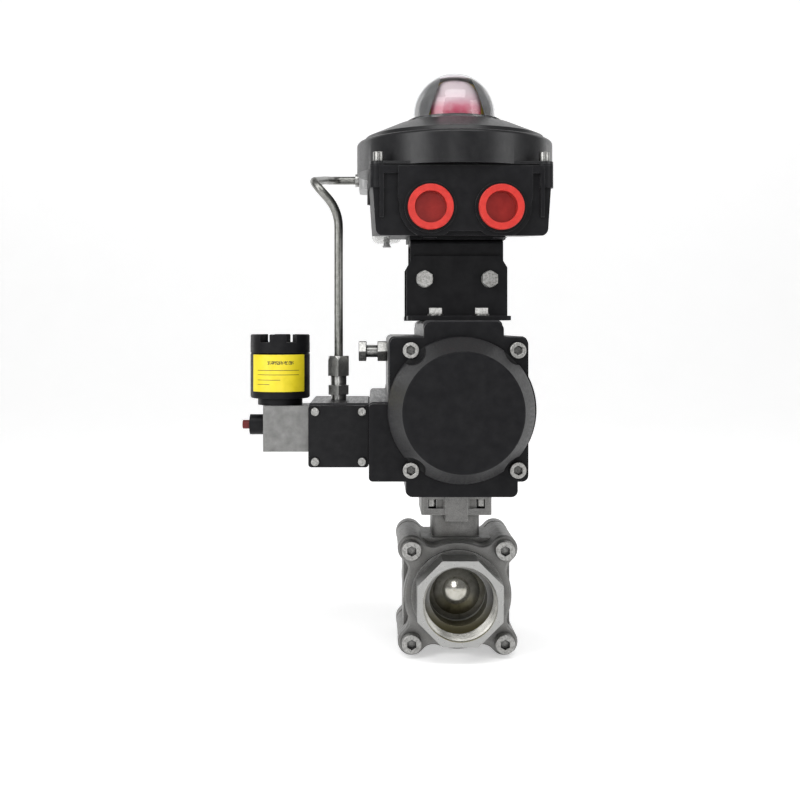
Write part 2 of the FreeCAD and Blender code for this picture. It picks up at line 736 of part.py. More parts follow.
def coil_spring(radius, wire, low, high, turns, spot, axis="Y"):
    """A helical spring with a round wire between two lengths."""
    span = high - low
    helix = Part.makeLongHelix(span / turns, span, radius, 0)
    section = Part.Wire([Part.makeCircle(wire, Vector(radius, 0, 0), Vector(0, 1, 0))])
    spring = Part.Wire(helix.Edges).makePipeShell([section], True, True)
    spring.Placement = Placement(Vector(), TURN[axis])
    centre = Vector(spot[0], low, spot[1]) if axis == "Y" else Vector(low, spot[0], spot[1])
    spring.translate(centre)
    return spring


for label, side in (("springs_front", -1), ("springs_rear", 1)):
    wire = 1.1
    seat = number("piston_inner + piston_thick - 5") + wire + 0.1
    end = number("body_half + cover_thick + bulge_high - 4") - wire - 0.1
    coils = [
        solid_from(coil_spring(6.2, wire, -end, -seat, 9, [number(value) for value in spot]))
        for spot in SPRING_SPOTS
    ]
    finish(label, half_turn(group(coils)) if side > 0 else group(coils))

# Bearings and seals of the pinion shaft; they stay in the body.
finish("pinion_bearings", group([
    carve(rod("Z", "lower_journal + 2", "base_top + 2", "block_low"),
          [rod("Z", "lower_journal + 0.05", "70", "90")]),
    carve(rod("Z", "upper_journal + 2", "block_top - 2", "boss_top - 1"),
          [rod("Z", "upper_journal + 0.05", "160", "190")]),
]))

stop_bolts = []
for offset in ("-stop_pitch", "stop_pitch"):
    spot = (offset, "stop_height")
    shank = rod("X", "stop_rad - 0.05", "-60.5", "-cam_face - 0.12", spot)
    head = hexagon("X", "13", "-65.5", "-60.4", spot)
    stop_bolts.append(join([shank, head]))
    nut = hexagon("X", "13", "-52.8", "-block_left - 0.8", spot)
    stop_bolts.append(carve(nut, [rod("X", "stop_rad", "-60", "-40", spot)]))
finish("stop_bolts", group(stop_bolts))

# --- Bracket ----------------------------------------------------------------------------


def foot_plate(side):
    """An angle foot: a flange screwed to the actuator and an upright with clipped corners."""
    points = [
        ("-bracket_half", "boss_top"), ("bracket_half", "boss_top"),
        ("bracket_half", "foot_top - 8"), ("bracket_half - 5", "foot_top"),
        ("-bracket_half + 5", "foot_top"), ("-bracket_half", "foot_top - 8"),
    ]
    face, back = "-foot_front", "-foot_front + bracket_sheet"
    upright = plate(points, "XZ_Plane", face, back)
    flange = block("-bracket_half", "bracket_half", "-foot_edge", back, "boss_top",
                   "boss_top + bracket_sheet")
    flange = soften(flange, 4, lambda edge: runs(edge, "z")
                    and middle(edge).y < number("-foot_edge") + 1)
    tools = [
        rod("Z", "3.3", "boss_top - 1", "boss_top + 5", (f"{i} * 15", "-40")) for i in (-1, 1)
    ]
    tools += [
        rod("Y", "3.3", "-foot_front - 1", "-foot_front + 5", (f"{i} * 21.6", "bolt_height"))
        for i in (-1, 1)
    ]
    whole = carve(join([upright, flange]), tools)
    return half_turn(whole) if side > 0 else group([whole])


finish("bracket_foot_front", foot_plate(-1))
finish("bracket_foot_rear", foot_plate(1))

legs = [
    block("-yoke_half", "yoke_half", "-yoke_reach", "-yoke_reach + bracket_sheet", "194", "yoke_top"),
    block("-yoke_half", "yoke_half", "yoke_reach - bracket_sheet", "yoke_reach", "194", "yoke_top"),
    block("-yoke_half", "yoke_half", "-yoke_reach", "yoke_reach", "yoke_top - bracket_sheet",
          "yoke_top"),
]
yoke = soften(join(legs), 3, lambda edge: runs(edge, "x") and middle(edge).z > number("yoke_top") - 0.1)
yoke = soften(yoke, 4, lambda edge: runs(edge, "y") and middle(edge).z < 195)
yoke_tools = [
    block("-13", "13", "-yoke_reach - 1", "yoke_reach + 1", "200", "220"),
    rod("Z", "11", "yoke_top - 5", "yoke_top + 1"),
]
yoke_tools += [rod("Y", "3.3", "-40", "40", (f"{i} * 21.6", "bolt_height")) for i in (-1, 1)]
yoke_tools.append(turn_with_box(group(
    rod("Z", "2.7", "yoke_top - 5", "yoke_top + 1", (f"{i} * 22", f"{j} * 14")) for i, j in CORNERS
)))
finish("bracket_bridge", carve(yoke, yoke_tools))


def hex_bolt(axis, seat, out, grip, spot, flats="10", head="4", washer="5.6", shank="3"):
    """A hex-head bolt with its washer; `out` is the side its head points to."""
    def span(first, second):
        ends = (f"{seat} + {out} * ({first})", f"{seat} + {out} * ({second})")
        return ends if out > 0 else ends[::-1]
    return join([
        rod(axis, washer, *span("0", "1.2"), spot),
        hexagon(axis, flats, *span("1.1", f"1.2 + {head}"), spot),
        rod(axis, shank, *span(f"-({grip})", "2"), spot),
    ])


finish("foot_bolts", group([
    hex_bolt("Z", "boss_top + bracket_sheet", 1, "11", (f"{i} * 15", f"{j} * 40"),
             flats="8.4", head="4", washer="5.2")
    for i, j in CORNERS
]))
side_bolts = [
    hex_bolt("Y", f"{j} * foot_front", j, "9", (f"{i} * 21.6", "bolt_height")) for i, j in CORNERS
]
for i, j in CORNERS:
    ends = ("-yoke_reach + bracket_sheet", "-yoke_reach + bracket_sheet + 5")
    if j > 0:
        ends = ("yoke_reach - bracket_sheet - 5", "yoke_reach - bracket_sheet")
    spot = (f"{i} * 21.6", "bolt_height")
    side_bolts.append(carve(hexagon("Y", "10", *ends, spot), [rod("Y", "3", "-40", "40", spot)]))
finish("side_bolts", group(side_bolts))
box_bolts = [
    hex_bolt("Z", "yoke_top - bracket_sheet", -1, "6.8", (f"{i} * 22", f"{j} * 14"),
             flats="8", head="3.5", washer="5.2", shank="2.5")
    for i, j in CORNERS
]
box_bolts += [
    join([rod("Y", "1.95", "box_front - 8", "64", (x, "262")), rod("Y", "4", "63", "66", (x, "262"))])
    for x in ("-38", "-26")
]
finish("box_bolts", group(box_bolts), yaw=True)

# --- Switch box -------------------------------------------------------------------------

bowl_points = [
    ("-box_base_half", "box_low"), ("box_base_half", "box_low"),
    ("box_half", "box_split"), ("-box_half", "box_split"),
]
shell = plate(bowl_points, "XZ_Plane", "-box_front + 3", "box_front - 3")
shell = soften(shell, 5, lambda edge: runs(edge, "y") and middle(edge).z < number("box_low") + 1)
shield_points = [
    ("-22", "box_low + 3"), ("22", "box_low + 3"), ("40", "box_low + 12"), ("43", "box_low + 25"),
    ("43", "box_split - 0.5"), ("-43", "box_split - 0.5"), ("-43", "box_low + 25"),
    ("-40", "box_low + 12"),
]
shield = plate(shield_points, "XZ_Plane", "-box_front", "-box_front + 5")
shield.Placement.Base.x += number("entry_shift")
back_shield = plate(shield_points, "XZ_Plane", "box_front - 5", "box_front")
ENTRY_SPOTS = [(f"entry_shift + {i} * entry_pitch", "entry_height") for i in (-1, 1)]
lip = block("-box_half - 0.8", "box_half + 0.8", "-box_front + 1", "box_front - 1", "box_split - 5",
            "box_split")
lip = soften(lip, 8, lambda edge: runs(edge, "z"))
CORNER_SPOTS = [(f"{i} * lug_x", f"{j} * lug_y") for i, j in CORNERS]
lugs = [rod("Z", "lug_rad", "box_split - 14", "box_split", spot) for spot in CORNER_SPOTS]
entries = [rod("Y", "19.5", "-box_front", "-box_front + 8", spot) for spot in ENTRY_SPOTS]
entries += [rod("Y", "16.5", "-box_front - 1.5", "-box_front + 1", spot) for spot in ENTRY_SPOTS]
webs = [
    block(f"{i} * 51.5 - 1.2", f"{i} * 51.5 + 1.2", "-box_front + 1", "-box_front + 8",
          "box_low + 12", "box_split - 1")
    for i in (-1, 1)
]
box_tools = [
    block("-46", "46", "-box_front + 11", "box_front - 7", "box_low + 5", "box_split + 1"),
    rod("Z", "8", "box_low - 1", "box_low + 8"),
]
slope = plate([
    ("-box_front - 1", "box_low - 1"), ("box_front + 1", "box_low - 1"),
    ("box_front + 1", "box_low + 8.6"), ("-box_front - 1", "box_low"),
], "YZ_Plane", "-box_half - 5", "box_half + 5")
box_tools.append(carve(slope, [block("-32", "32", "-26", "26", "box_low - 5", "box_low + 20")]))
box_tools += [rod("Y", "entry_rad", "-box_front - 3", "-box_front + 14", spot)
              for spot in ENTRY_SPOTS]
box_tools += [rod("Z", "2.5", "box_low - 1", "box_low + 4.5", (f"{i} * 22", f"{j} * 14"))
              for i, j in CORNERS]
box_tools += [rod("Z", "2.5", "box_split - 12", "box_split + 1", spot) for spot in CORNER_SPOTS]
box_tools += [rod("Y", "2", "box_front - 9", "box_front + 1", (x, "262")) for x in ("-38", "-26")]
pedestals = [
    block("20", "34", "-16", "16", "box_low + 4", "257.5"),
    block("-44", "-24", "-30", "30", "box_low + 4", "box_low + 9"),
]
hollow = carve(join([shell, shield, back_shield, lip] + lugs + entries + webs), box_tools)
finish("switch_housing", join([hollow] + pedestals), yaw=True)

brim = rod("Z", "hood_half", "box_split + 1", "hood_shoulder")
brim = soften(brim, 2.5, lambda edge: edge.BoundBox.ZLength < 0.01
              and middle(edge).z > number("hood_shoulder") - 0.1)
skirt = block("-box_half - 0.8", "box_half + 0.8", "-box_front + 2", "box_front - 2",
              "box_split + 1", "ear_top")
skirt = soften(skirt, 8, lambda edge: runs(edge, "z"))
cone = turned([
    ("0", "hood_shoulder - 2"), ("63", "hood_shoulder - 2"), ("61", "hood_shoulder + 3"),
    ("40", "hood_top - 3.5"), ("36", "hood_top - 2.5"), ("0", "hood_top - 2.5"),
], axis="Z")
ears = [rod("Z", "lug_rad", "box_split + 1", "ear_top", spot) for spot in CORNER_SPOTS]
hood_tools = [
    rod("Z", "55", "box_split", "hood_shoulder - 4"),
    rod("Z", "26.2", "hood_shoulder - 5", "hood_top"),
]
hood_tools += [rod("Z", "lug_rad", "ear_top", "hood_top", spot) for spot in CORNER_SPOTS]
hood_tools += [rod("Z", "2.8", "box_split", "box_split + 6", spot) for spot in CORNER_SPOTS]
finish("switch_cover", carve(join([brim, skirt, cone] + ears), hood_tools), yaw=True)
sheet_part = soften(block("-box_half", "box_half", "-57", "57", "box_split", "box_split + 1"), 8,
                    lambda edge: runs(edge, "z"))
pads = [rod("Z", "lug_rad", "box_split", "box_split + 1", spot) for spot in CORNER_SPOTS]
gaskets.append(turn_with_box(carve(
    join([sheet_part] + pads),
    [block("-46", "46", "-49", "53", "box_split - 1", "box_split + 2")]
    + [rod("Z", "2.8", "box_split - 1", "box_split + 2", spot) for spot in CORNER_SPOTS],
)))
finish("cover_gaskets", group(gaskets))
finish("cover_screws", group([
    carve(join([
        rod("Z", "3.5", "ear_top", "ear_top + 6.2", spot),
        rod("Z", "2.45", "box_split - 10", "ear_top + 1", spot),
    ]), [hexagon("Z", "3", "ear_top + 3", "ear_top + 7", spot)])
    for spot in CORNER_SPOTS
]), yaw=True)

entry_plugs = []
for spot in ENTRY_SPOTS:
    disc = rod("Y", "plug_rad", "-box_front - 5", "-box_front - 1.5", spot)
    stub = rod("Y", "entry_rad - 0.05", "-box_front - 2", "-box_front + 7", spot)
    hollow = rod("Y", "plug_hole", "-box_front - 6", "-box_front + 5", spot)
    disc = soften(disc, 0.8, lambda edge: edge.BoundBox.YLength < 0.01)
    entry_plugs.append(carve(join([disc, stub]), [hollow]))
finish("entry_plugs", group(entry_plugs), yaw=True)


def dome_shell(outer, inner):
    """A hollow dome: a straight wall from the cover up to its centre, then half a sphere."""
    centre, low = "dome_top - dome_rad", "hood_top - 2"
    solids = []
    for radius, start in ((outer, low), (inner, f"{low} - 1")):
        ball = ball_at(radius, z=centre)
        wall = rod("Z", radius, start, centre)
        upper = overlap(ball, rod("Z", "40", centre, "dome_top + 1"))
        solids.append(join([wall, upper]))
    return carve(solids[0], [solids[1]])


rim = rod("Z", "32", "hood_top - 2.5", "hood_top")
rim = carve(rim, [rod("Z", "dome_rad - 1", "hood_top - 5", "hood_top + 1")])
finish("indicator_dome", join([dome_shell("dome_rad", "dome_rad - 1"), rim]), yaw=True)

mask = dome_shell("dome_rad - 1.3", "dome_rad - 2.8")
slots = []
window_points = [
    ("-19", "hood_top + 1"), ("19", "hood_top + 1"), ("10", "dome_top - 5.5"),
    ("-10", "dome_top - 5.5"),
]
slots.append(plate(window_points, "XZ_Plane", "-40", "40"))
mask_ring = carve(rod("Z", "dome_rad - 1.3", "hood_top - 2.5", "hood_top + 1"),
                  [rod("Z", "dome_rad - 2.8", "hood_top - 5", "hood_top + 2")])
finish("indicator_mask", join([carve(mask, slots), mask_ring]), yaw=True)


def quadrant(start):
    """Two opposite quarter segments of the rotor's coloured shell."""
    pieces = []
    for turn in (start, start + 180):
        wedge = doc.addObject("Part::Cylinder", "wedge")
        bind(wedge, "Radius", "40")
        bind(wedge, "Height", "60")
        wedge.Angle = 90
        wedge.Placement = Placement(Vector(0, 0, number("hood_top - 3")),
                                    Rotation(Vector(0, 0, 1), turn))
        pieces.append(overlap(dome_shell("dome_rad - 4.6", "dome_rad - 7"), wedge))
    return group(pieces)


finish("indicator_red", quadrant(45))
finish("indicator_yellow", quadrant(-45))
tongue = block("-2.1", "2.1", "-5.5", "5.5", "shaft_top - 4.5", "shaft_top + 1")
hub = rod("Z", "dome_rad - 7.3", "hood_top - 3", "hood_top - 0.5")
spokes = rod("Z", "dome_rad - 4.6", "hood_top - 4.5", "hood_top - 2")
finish("switch_shaft", join([
    overlap(tongue, rod("Z", "6", "100", "300")),
    rod("Z", "6", "shaft_top + 0.5", "hood_top - 1"), hub, spokes,
]))


def lobe_cam(low, high, turn):
    """A switch cam: a round disc with one flat sector."""
    disc = carve(rod("Z", "15", low, high), [rod("Z", "6", "200", "330")])
    flat = doc.addObject("Part::Box", "flat")
    bind(flat, "Length", "20")
    bind(flat, "Width", "40")
    bind(flat, "Height", "20")
    spin = Rotation(Vector(0, 0, 1), turn)
    flat.Placement = Placement(spin.multVec(Vector(11.5, -20, 0)) + Vector(0, 0, number(low) - 5), spin)
    return carve(disc, [flat])


finish("switch_cams", group([lobe_cam("259", "266", 0), lobe_cam("268.5", "275.5", 90)]))
switch_units = [
    soften(block("22", "32", "-14", "14", low, high), 1, lambda edge: runs(edge, "z"))
    for low, high in (("257.5", "266.5"), ("268", "277"))
]
switch_units.append(join(
    [block("-40", "-28", "-28", "28", "box_low + 9", "box_low + 19")]
    + [block("-38", "-30", f"{k} * 8 - 0.6", f"{k} * 8 + 0.6", "box_low + 18", "box_low + 24")
       for k in range(-3, 4)]
))
finish("switch_units", group(switch_units), yaw=True)

# --- Solenoid valve ---------------------------------------------------------------------
SPOOL_X = "-namur_face - spool_width / 2"
SPOOL_LOW, SPOOL_HIGH = "spool_mid - spool_half", "spool_mid + spool_half"

spool_block = block("-namur_face - spool_width", "-namur_face", "-spool_body_half",
                    "spool_body_half", f"{SPOOL_LOW} + 0.5", f"{SPOOL_HIGH} + 1.3")
spool_block = soften(spool_block, 1.5, lambda edge: runs(edge, "y"))
spool_tools = [
    rod("Y", "8", "-50", "50", (SPOOL_X, "spool_mid")),
    rod("Z", "4.5", "spool_mid", f"{SPOOL_HIGH} + 3", (f"{SPOOL_X} - 1.4", "-3")),
]
spool_tools += [rod("X", "3", "-80", "-50", (offset, "spool_mid")) for offset in ("-12", "12")]
spool_tools += [
    rod("Z", "5.7", f"{SPOOL_LOW} - 1", f"{SPOOL_LOW} + 9", (SPOOL_X, offset))
    for offset in ("-14", "14")
]
COVER_SPOTS = [(f"{SPOOL_X} + {i} * 15.2", f"spool_mid + {j} * 16.2") for i, j in CORNERS]
spool_tools += [rod("Y", "1.5", "-50", "50", spot) for spot in COVER_SPOTS]
finish("spool_valve_body", carve(spool_block, spool_tools))

covers = []
for low, high in (("-spool_body_half - spool_cover", "-spool_body_half"),
                  ("spool_body_half", "spool_body_half + spool_cover")):
    lid = block("-namur_face - spool_width", "-namur_face - 0.4", low, high, SPOOL_LOW, SPOOL_HIGH)
    lid = soften(lid, 2, lambda edge: runs(edge, "y"))
    covers.append(carve(lid, [rod("Y", "1.6", "-60", "60", spot) for spot in COVER_SPOTS]))
finish("spool_covers", group(covers))
spool_screws = []
for side in (-1, 1):
    for spot in COVER_SPOTS:
        seat = "spool_body_half + spool_cover"
        ends, head_ends = (f"{seat} - 20", seat), (seat, f"{seat} + 2.4")
        if side < 0:
            ends, head_ends = (f"-({seat})", f"-({seat}) + 20"), (f"-({seat}) - 2.4", f"-({seat})")
        spool_screws.append(join([rod("Y", "1.45", *ends, spot), rod("Y", "2.7", *head_ends, spot)]))
finish("spool_cover_screws", group(spool_screws))
spool_grooves = [
    carve(rod("Y", "9", f"{k} - 3", f"{k} + 3", (SPOOL_X, "spool_mid")),
          [rod("Y", "5", "-60", "60", (SPOOL_X, "spool_mid"))])
    for k in (-24, -8, 8, 24)
]
finish("spool", carve(rod("Y", "7.93", "-37.5", "33.5", (SPOOL_X, "spool_mid")), spool_grooves))

PILOT_X0 = "-namur_face - spool_width - pilot_width"
pilot = block(PILOT_X0, "-namur_face - spool_width", "-30", "0", "pilot_low",
              "pilot_low + pilot_height")
pilot = soften(pilot, 1, lambda edge: runs(edge, "z") and middle(edge).x < -120)
COIL = (f"{PILOT_X0} + 10.3", "-15")
finish("pilot_block", carve(pilot, [
    rod("X", "3.1", f"{PILOT_X0} - 1", f"{PILOT_X0} + 9", ("-15", "111")),
    rod("Z", "6.1", "110", "pilot_low + pilot_height + 1", COIL),
]))
finish("override_collar", carve(
    rod("X", "6.85", f"{PILOT_X0} - 10", PILOT_X0, ("-15", "111")),
    [rod("X", "3.1", "-150", "-100", ("-15", "111"))],
))
finish("override_button", soften(
    rod("X", "3", f"{PILOT_X0} - 15", f"{PILOT_X0} + 1", ("-15", "111")), 0.6,
    lambda edge: edge.BoundBox.XLength < 0.01,
))

neck = rod("Z", "15", "pilot_low + pilot_height", "coil_low + 2", COIL)
can = rod("Z", "coil_rad", "coil_low", "coil_cap_low + 6.5", COIL)
can = soften(can, 1.5, lambda edge: edge.BoundBox.ZLength < 0.01)
entry_boss = rod("Y", "11", "-5", "14", (COIL[0], "142"))
finish("coil_housing", carve(join([neck, can, entry_boss]), [
    rod("Y", "8", "2", "15", (COIL[0], "142")),
    rod("Z", "6.1", "120", "151", COIL),
]))
lid = rod("Z", "coil_rad", "coil_cap_low + 6.5", "coil_top", COIL)
lid = soften(lid, 1, lambda edge: edge.BoundBox.ZLength < 0.01
             and middle(edge).z > number("coil_top") - 0.1)
notches = [rod("Z", "13.5", "coil_top - 6.2", "coil_top + 1", COIL)]
for turn in (90 - 26.6, 90 + 26.6, 0):
    notch = doc.addObject("Part::Box", "notch")
    bind(notch, "Length", "60")
    bind(notch, "Width", "7.2")
    bind(notch, "Height", "8")
    spin = Rotation(Vector(0, 0, 1), turn)
    centre = Vector(number(COIL[0]), number(COIL[1]), number("coil_top") - 5.4)
    notch.Placement = Placement(centre + spin.multVec(Vector(-30, -3.6, 0)), spin)
    notches.append(notch)
finish("coil_cap", carve(lid, notches))
finish("armature", join([
    rod("Z", "5.5", "112", "147", COIL), taper("Z", "2.5", "5.5", "110.5", "112", COIL),
]))
tag = carve(rod("Z", "coil_rad + 0.6", "133.8", "158.4", COIL), [
    rod("Z", "coil_rad + 0.05", "130", "165", COIL),
    block("-200", "0", "-26.5", "60", "130", "165"),
])
finish("label_plate", group([tag]))

# --- Air line and filter regulator ------------------------------------------------------
FIT = (f"{SPOOL_X} - 1.4", "-3")
TOP = f"{SPOOL_HIGH} + 1.3"
fitting = join([
    rod("Z", "5.3", TOP, f"{TOP} + 3.7", FIT),
    hexagon("Z", "13.6", f"{TOP} + 3.6", f"{TOP} + 10", FIT),
    rod("Z", "5.4", f"{TOP} + 9.9", f"{TOP} + 16.3", FIT),
    rod("Z", "4.45", f"{TOP} - 8", f"{TOP} + 1", FIT),
])
valve_fitting = carve(fitting, [
    rod("Z", "2", f"{TOP} - 10", f"{TOP} + 20", FIT),
    rod("Z", "tube_rad + 0.02", f"{TOP} + 12", f"{TOP} + 20", FIT),
])
nut = hexagon("Z", "14", f"{TOP} + 16.4", f"{TOP} + 30", FIT)
nut_core = overlap(nut, taper("Z", "12", "6.5", f"{TOP} + 16.4", f"{TOP} + 31.5", FIT))
finish("tube_nut", carve(nut_core, [rod("Z", "tube_rad + 0.02", "130", "190", FIT)]))


def rounded_path(points, radii):
    """Straight runs joined by tangent arcs, as one wire; each corner has its own radius."""
    edges = []
    start = points[0]
    for before, corner, after, radius in zip(points, points[1:], points[2:], radii):
        inward = (corner - before).normalize()
        outward = (after - corner).normalize()
        turn = inward.getAngle(outward)
        reach = radius * math.tan(turn / 2)
        first = corner - inward * reach
        last = corner + outward * reach
        bisector = (outward - inward).normalize()
        centre = corner + bisector * (radius / math.cos(turn / 2))
        crown = centre - bisector * radius
        edges.append(Part.LineSegment(start, first).toShape())
        edges.append(Part.Arc(first, crown, last).toShape())
        start = last
    edges.append(Part.LineSegment(start, points[-1]).toShape())
    return Part.Wire(edges)


REG_LEFT = number("-reg_x - reg_half")
tube_route = rounded_path([
    Vector(number(FIT[0]), -3, number(TOP) + 12.2),
    Vector(number(FIT[0]), -3, 257),
    Vector(-97, -6, 276),
    Vector(-92, 68, 286),
    Vector(-86.5, 86, 288),
    Vector(REG_LEFT + 2, 86, 288),
], (30, 10, 9, 9))


def swept(path, radius):
    first = path.Edges[0]
    direction = first.tangentAt(first.FirstParameter)
    ring = Part.Wire([Part.makeCircle(radius, path.Edges[0].Vertexes[0].Point, direction)])
    return path.makePipeShell([ring], True, False)


tube = swept(tube_route, number("tube_rad")).cut(swept(tube_route, number("tube_rad") - 1))
finish("supply_tube", solid_from(tube))
finish("tube_fittings", group([valve_fitting, carve(join([
    rod("X", "4.45", "-reg_x - reg_half - 1", "-reg_x - reg_half + 8", ("86", "288")),
    rod("X", "4.9", "-reg_x - reg_half - 3", "-reg_x - reg_half - 0.1", ("86", "288")),
]), [
    rod("X", "2", "-90", "-50", ("86", "288")),
    rod("X", "tube_rad + 0.02", "-90", "-reg_x - reg_half + 2.1", ("86", "288")),
])]))

REG = ("-reg_x", "reg_y")
reg_block = block("-reg_x - reg_half", "-reg_x + reg_half", "reg_y - reg_half", "reg_y + reg_half",
                  "reg_low", "reg_high")
reg_block = soften(reg_block, 5, lambda edge: runs(edge, "z"))
bonnet = rod("Z", "15", "reg_high - 1", "reg_high + 8", REG)
skirt = rod("Z", "15", "reg_low - 2", "reg_low + 1", REG)
finish("regulator_body", carve(join([reg_block, bonnet, skirt]), [
    rod("X", "4.5", "-reg_x - reg_half - 1", "-reg_x - reg_half + 9", ("86", "288")),
    rod("X", "6.6", "-reg_x + reg_half - 9", "-reg_x + reg_half + 1", ("reg_y", "289")),
    rod("Z", "11", "reg_low - 3", "reg_low + 8", REG),
    rod("Z", "5.3", "reg_high", "reg_high + 9", REG),
]))
knob = rod("Z", "14.5", "reg_high + 8.3", "reg_high + 20", REG)
knob = soften(knob, 2, lambda edge: edge.BoundBox.ZLength < 0.01
              and middle(edge).z > number("reg_high") + 19)
finish("regulator_knob", join([knob, rod("Z", "5", "reg_high + 1", "reg_high + 9", REG)]))
flask = rod("Z", "bowl_rad", "bowl_low", "reg_low - 2", REG)
flask = soften(flask, 4.5, lambda edge: edge.BoundBox.ZLength < 0.01
               and middle(edge).z < number("bowl_low") + 0.1)
neck_ring = rod("Z", "10.9", "reg_low - 3", "reg_low + 6", REG)
finish("filter_bowl", carve(join([flask, neck_ring]), [
    rod("Z", "bowl_rad - 3", "bowl_low + 3", "reg_low - 4", REG),
    rod("Z", "8.5", "reg_low - 5", "reg_low + 8", REG),
    rod("Z", "2.6", "bowl_low - 1", "bowl_low + 5", REG),
]))
finish("drain_valve", join([
    rod("Z", "2.5", "bowl_low - 2.2", "bowl_low + 5", REG),
    rod("Z", "3.3", "bowl_low - 3", "bowl_low - 1.8", REG),
]))
shelf = join([
    block("-51", "-18", "61", "110", "reg_low - 5", "reg_low - 2"),
    block("-44", "-20", "60", "63", "252", "reg_low - 2"),
])
shelf = turn_with_box(carve(shelf, [rod("Y", "2.2", "55", "70", (x, "262")) for x in ("-38", "-26")]))
finish("regulator_bracket", carve(shelf, [rod("Z", "bowl_rad + 0.6", "reg_low - 8", "reg_low + 2", REG)]))

doc.recompute()
for thing in doc.Objects:
    if "Invalid" in thing.State or "Error" in thing.State:
        raise RuntimeError(f"{thing.Name} {thing.Label} is {thing.State}")
os.makedirs("parts", exist_ok=True)
for thing in NODES:
    shape = thing.Shape
    if shape.isNull() or not shape.isValid():
        raise RuntimeError(f"{thing.Label} has no valid shape")
    if not shape.Solids:
        raise RuntimeError(f"{thing.Label} has no solid")
    shape.exportStep(f"parts/{thing.Label}.step")
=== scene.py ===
"""Looks of the pneumatic valve actuator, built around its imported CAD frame.

Every visible piece is a refined copy of its CAD node, or a new mesh where the real surface
has more to it, and every piece has a procedural material. Lengths are in metres for the
camera, the lights and the floor, and in millimetres for materials, soft edges and threads.
"""

import json
import math

import bmesh
import bpy
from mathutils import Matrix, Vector


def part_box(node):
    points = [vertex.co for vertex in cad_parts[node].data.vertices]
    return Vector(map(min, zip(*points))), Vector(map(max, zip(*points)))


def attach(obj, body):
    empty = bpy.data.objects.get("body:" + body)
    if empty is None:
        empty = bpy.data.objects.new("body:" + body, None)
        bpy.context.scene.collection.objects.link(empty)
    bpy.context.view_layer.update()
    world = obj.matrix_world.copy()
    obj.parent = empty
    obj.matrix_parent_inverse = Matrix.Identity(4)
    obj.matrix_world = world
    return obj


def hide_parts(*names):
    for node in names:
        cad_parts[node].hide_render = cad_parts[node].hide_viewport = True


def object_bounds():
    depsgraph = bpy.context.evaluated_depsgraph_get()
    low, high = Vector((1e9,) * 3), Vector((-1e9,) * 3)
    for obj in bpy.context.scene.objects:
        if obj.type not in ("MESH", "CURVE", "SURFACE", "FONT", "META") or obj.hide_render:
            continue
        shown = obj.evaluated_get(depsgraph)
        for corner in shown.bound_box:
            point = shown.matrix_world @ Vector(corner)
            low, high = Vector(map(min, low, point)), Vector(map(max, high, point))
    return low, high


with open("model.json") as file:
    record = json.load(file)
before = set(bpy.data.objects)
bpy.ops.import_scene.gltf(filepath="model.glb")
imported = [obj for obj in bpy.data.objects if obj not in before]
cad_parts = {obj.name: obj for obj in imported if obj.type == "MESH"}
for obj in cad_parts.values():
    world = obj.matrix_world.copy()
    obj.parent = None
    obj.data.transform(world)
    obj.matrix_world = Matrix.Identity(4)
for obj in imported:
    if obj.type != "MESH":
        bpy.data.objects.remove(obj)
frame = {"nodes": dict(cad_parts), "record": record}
CAD_BOUNDS = [list(corner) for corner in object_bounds()]

MM = 0.001
NODES = frame["nodes"]
BODY_OF = {
    node: body
    for body, members in frame["record"]["behaviour"]["bodies"].items()
    for node in members
}
STEM = Vector((0.0, sum(corner.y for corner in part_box("valve_body")) / 2, 0.0))
LIGHTS_AIM = STEM + Vector((0.0, 0.0, 0.16))
BORE = sum(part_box("piston_front"), Vector()) / 2 / MM

PORT_RADIUS = 24.3      # just outside the pipe ports' wall
TOOL_MARKS = 14.0       # the turned rings' wave, in radians for each millimetre
CONE_SHIFT = -2         # the end covers' cone stands a little left of the bore
CONE_RADII = (36.4, 44.6)
SOFT_EDGE = 0.35        # width of the softened edges
LEAD_IN = 0.6           # how far inside its mouth a thread starts
WALL_GAP = 0.02         # how far a thread's root stands off the bore's wall
FLAT_ANGLE = math.radians(0.5)
SHARP_ANGLE = math.radians(28)


# --- Camera, lights and floor -----------------------------------------------------------


def set_camera():
    """A level camera in front of the valve, a little left of the stem."""
    data = bpy.data.cameras.new("camera")
    data.sensor_width = 36.0
    data.lens = 52.3
    data.shift_x = 0.03125
    data.shift_y = -0.09375
    data.dof.use_dof = False
    camera = bpy.data.objects.new("camera", data)
    camera.location = STEM + Vector((-0.0545, -0.800, 0.178))
    camera.rotation_euler = (math.radians(90), 0.0, 0.0)
    bpy.context.scene.collection.objects.link(camera)
    bpy.context.scene.camera = camera


def area_light(name, offset, size, power):
    """A white rectangular light that stands at an offset from the object and faces it."""
    data = bpy.data.lights.new(name, "AREA")
    data.shape = "RECTANGLE"
    data.size, data.size_y = size
    data.energy = power
    light = bpy.data.objects.new(name, data)
    light.location = LIGHTS_AIM + Vector(offset)
    direction = LIGHTS_AIM - light.location
    light.rotation_euler = direction.to_track_quat("-Z", "Y").to_euler()
    bpy.context.scene.collection.objects.link(light)


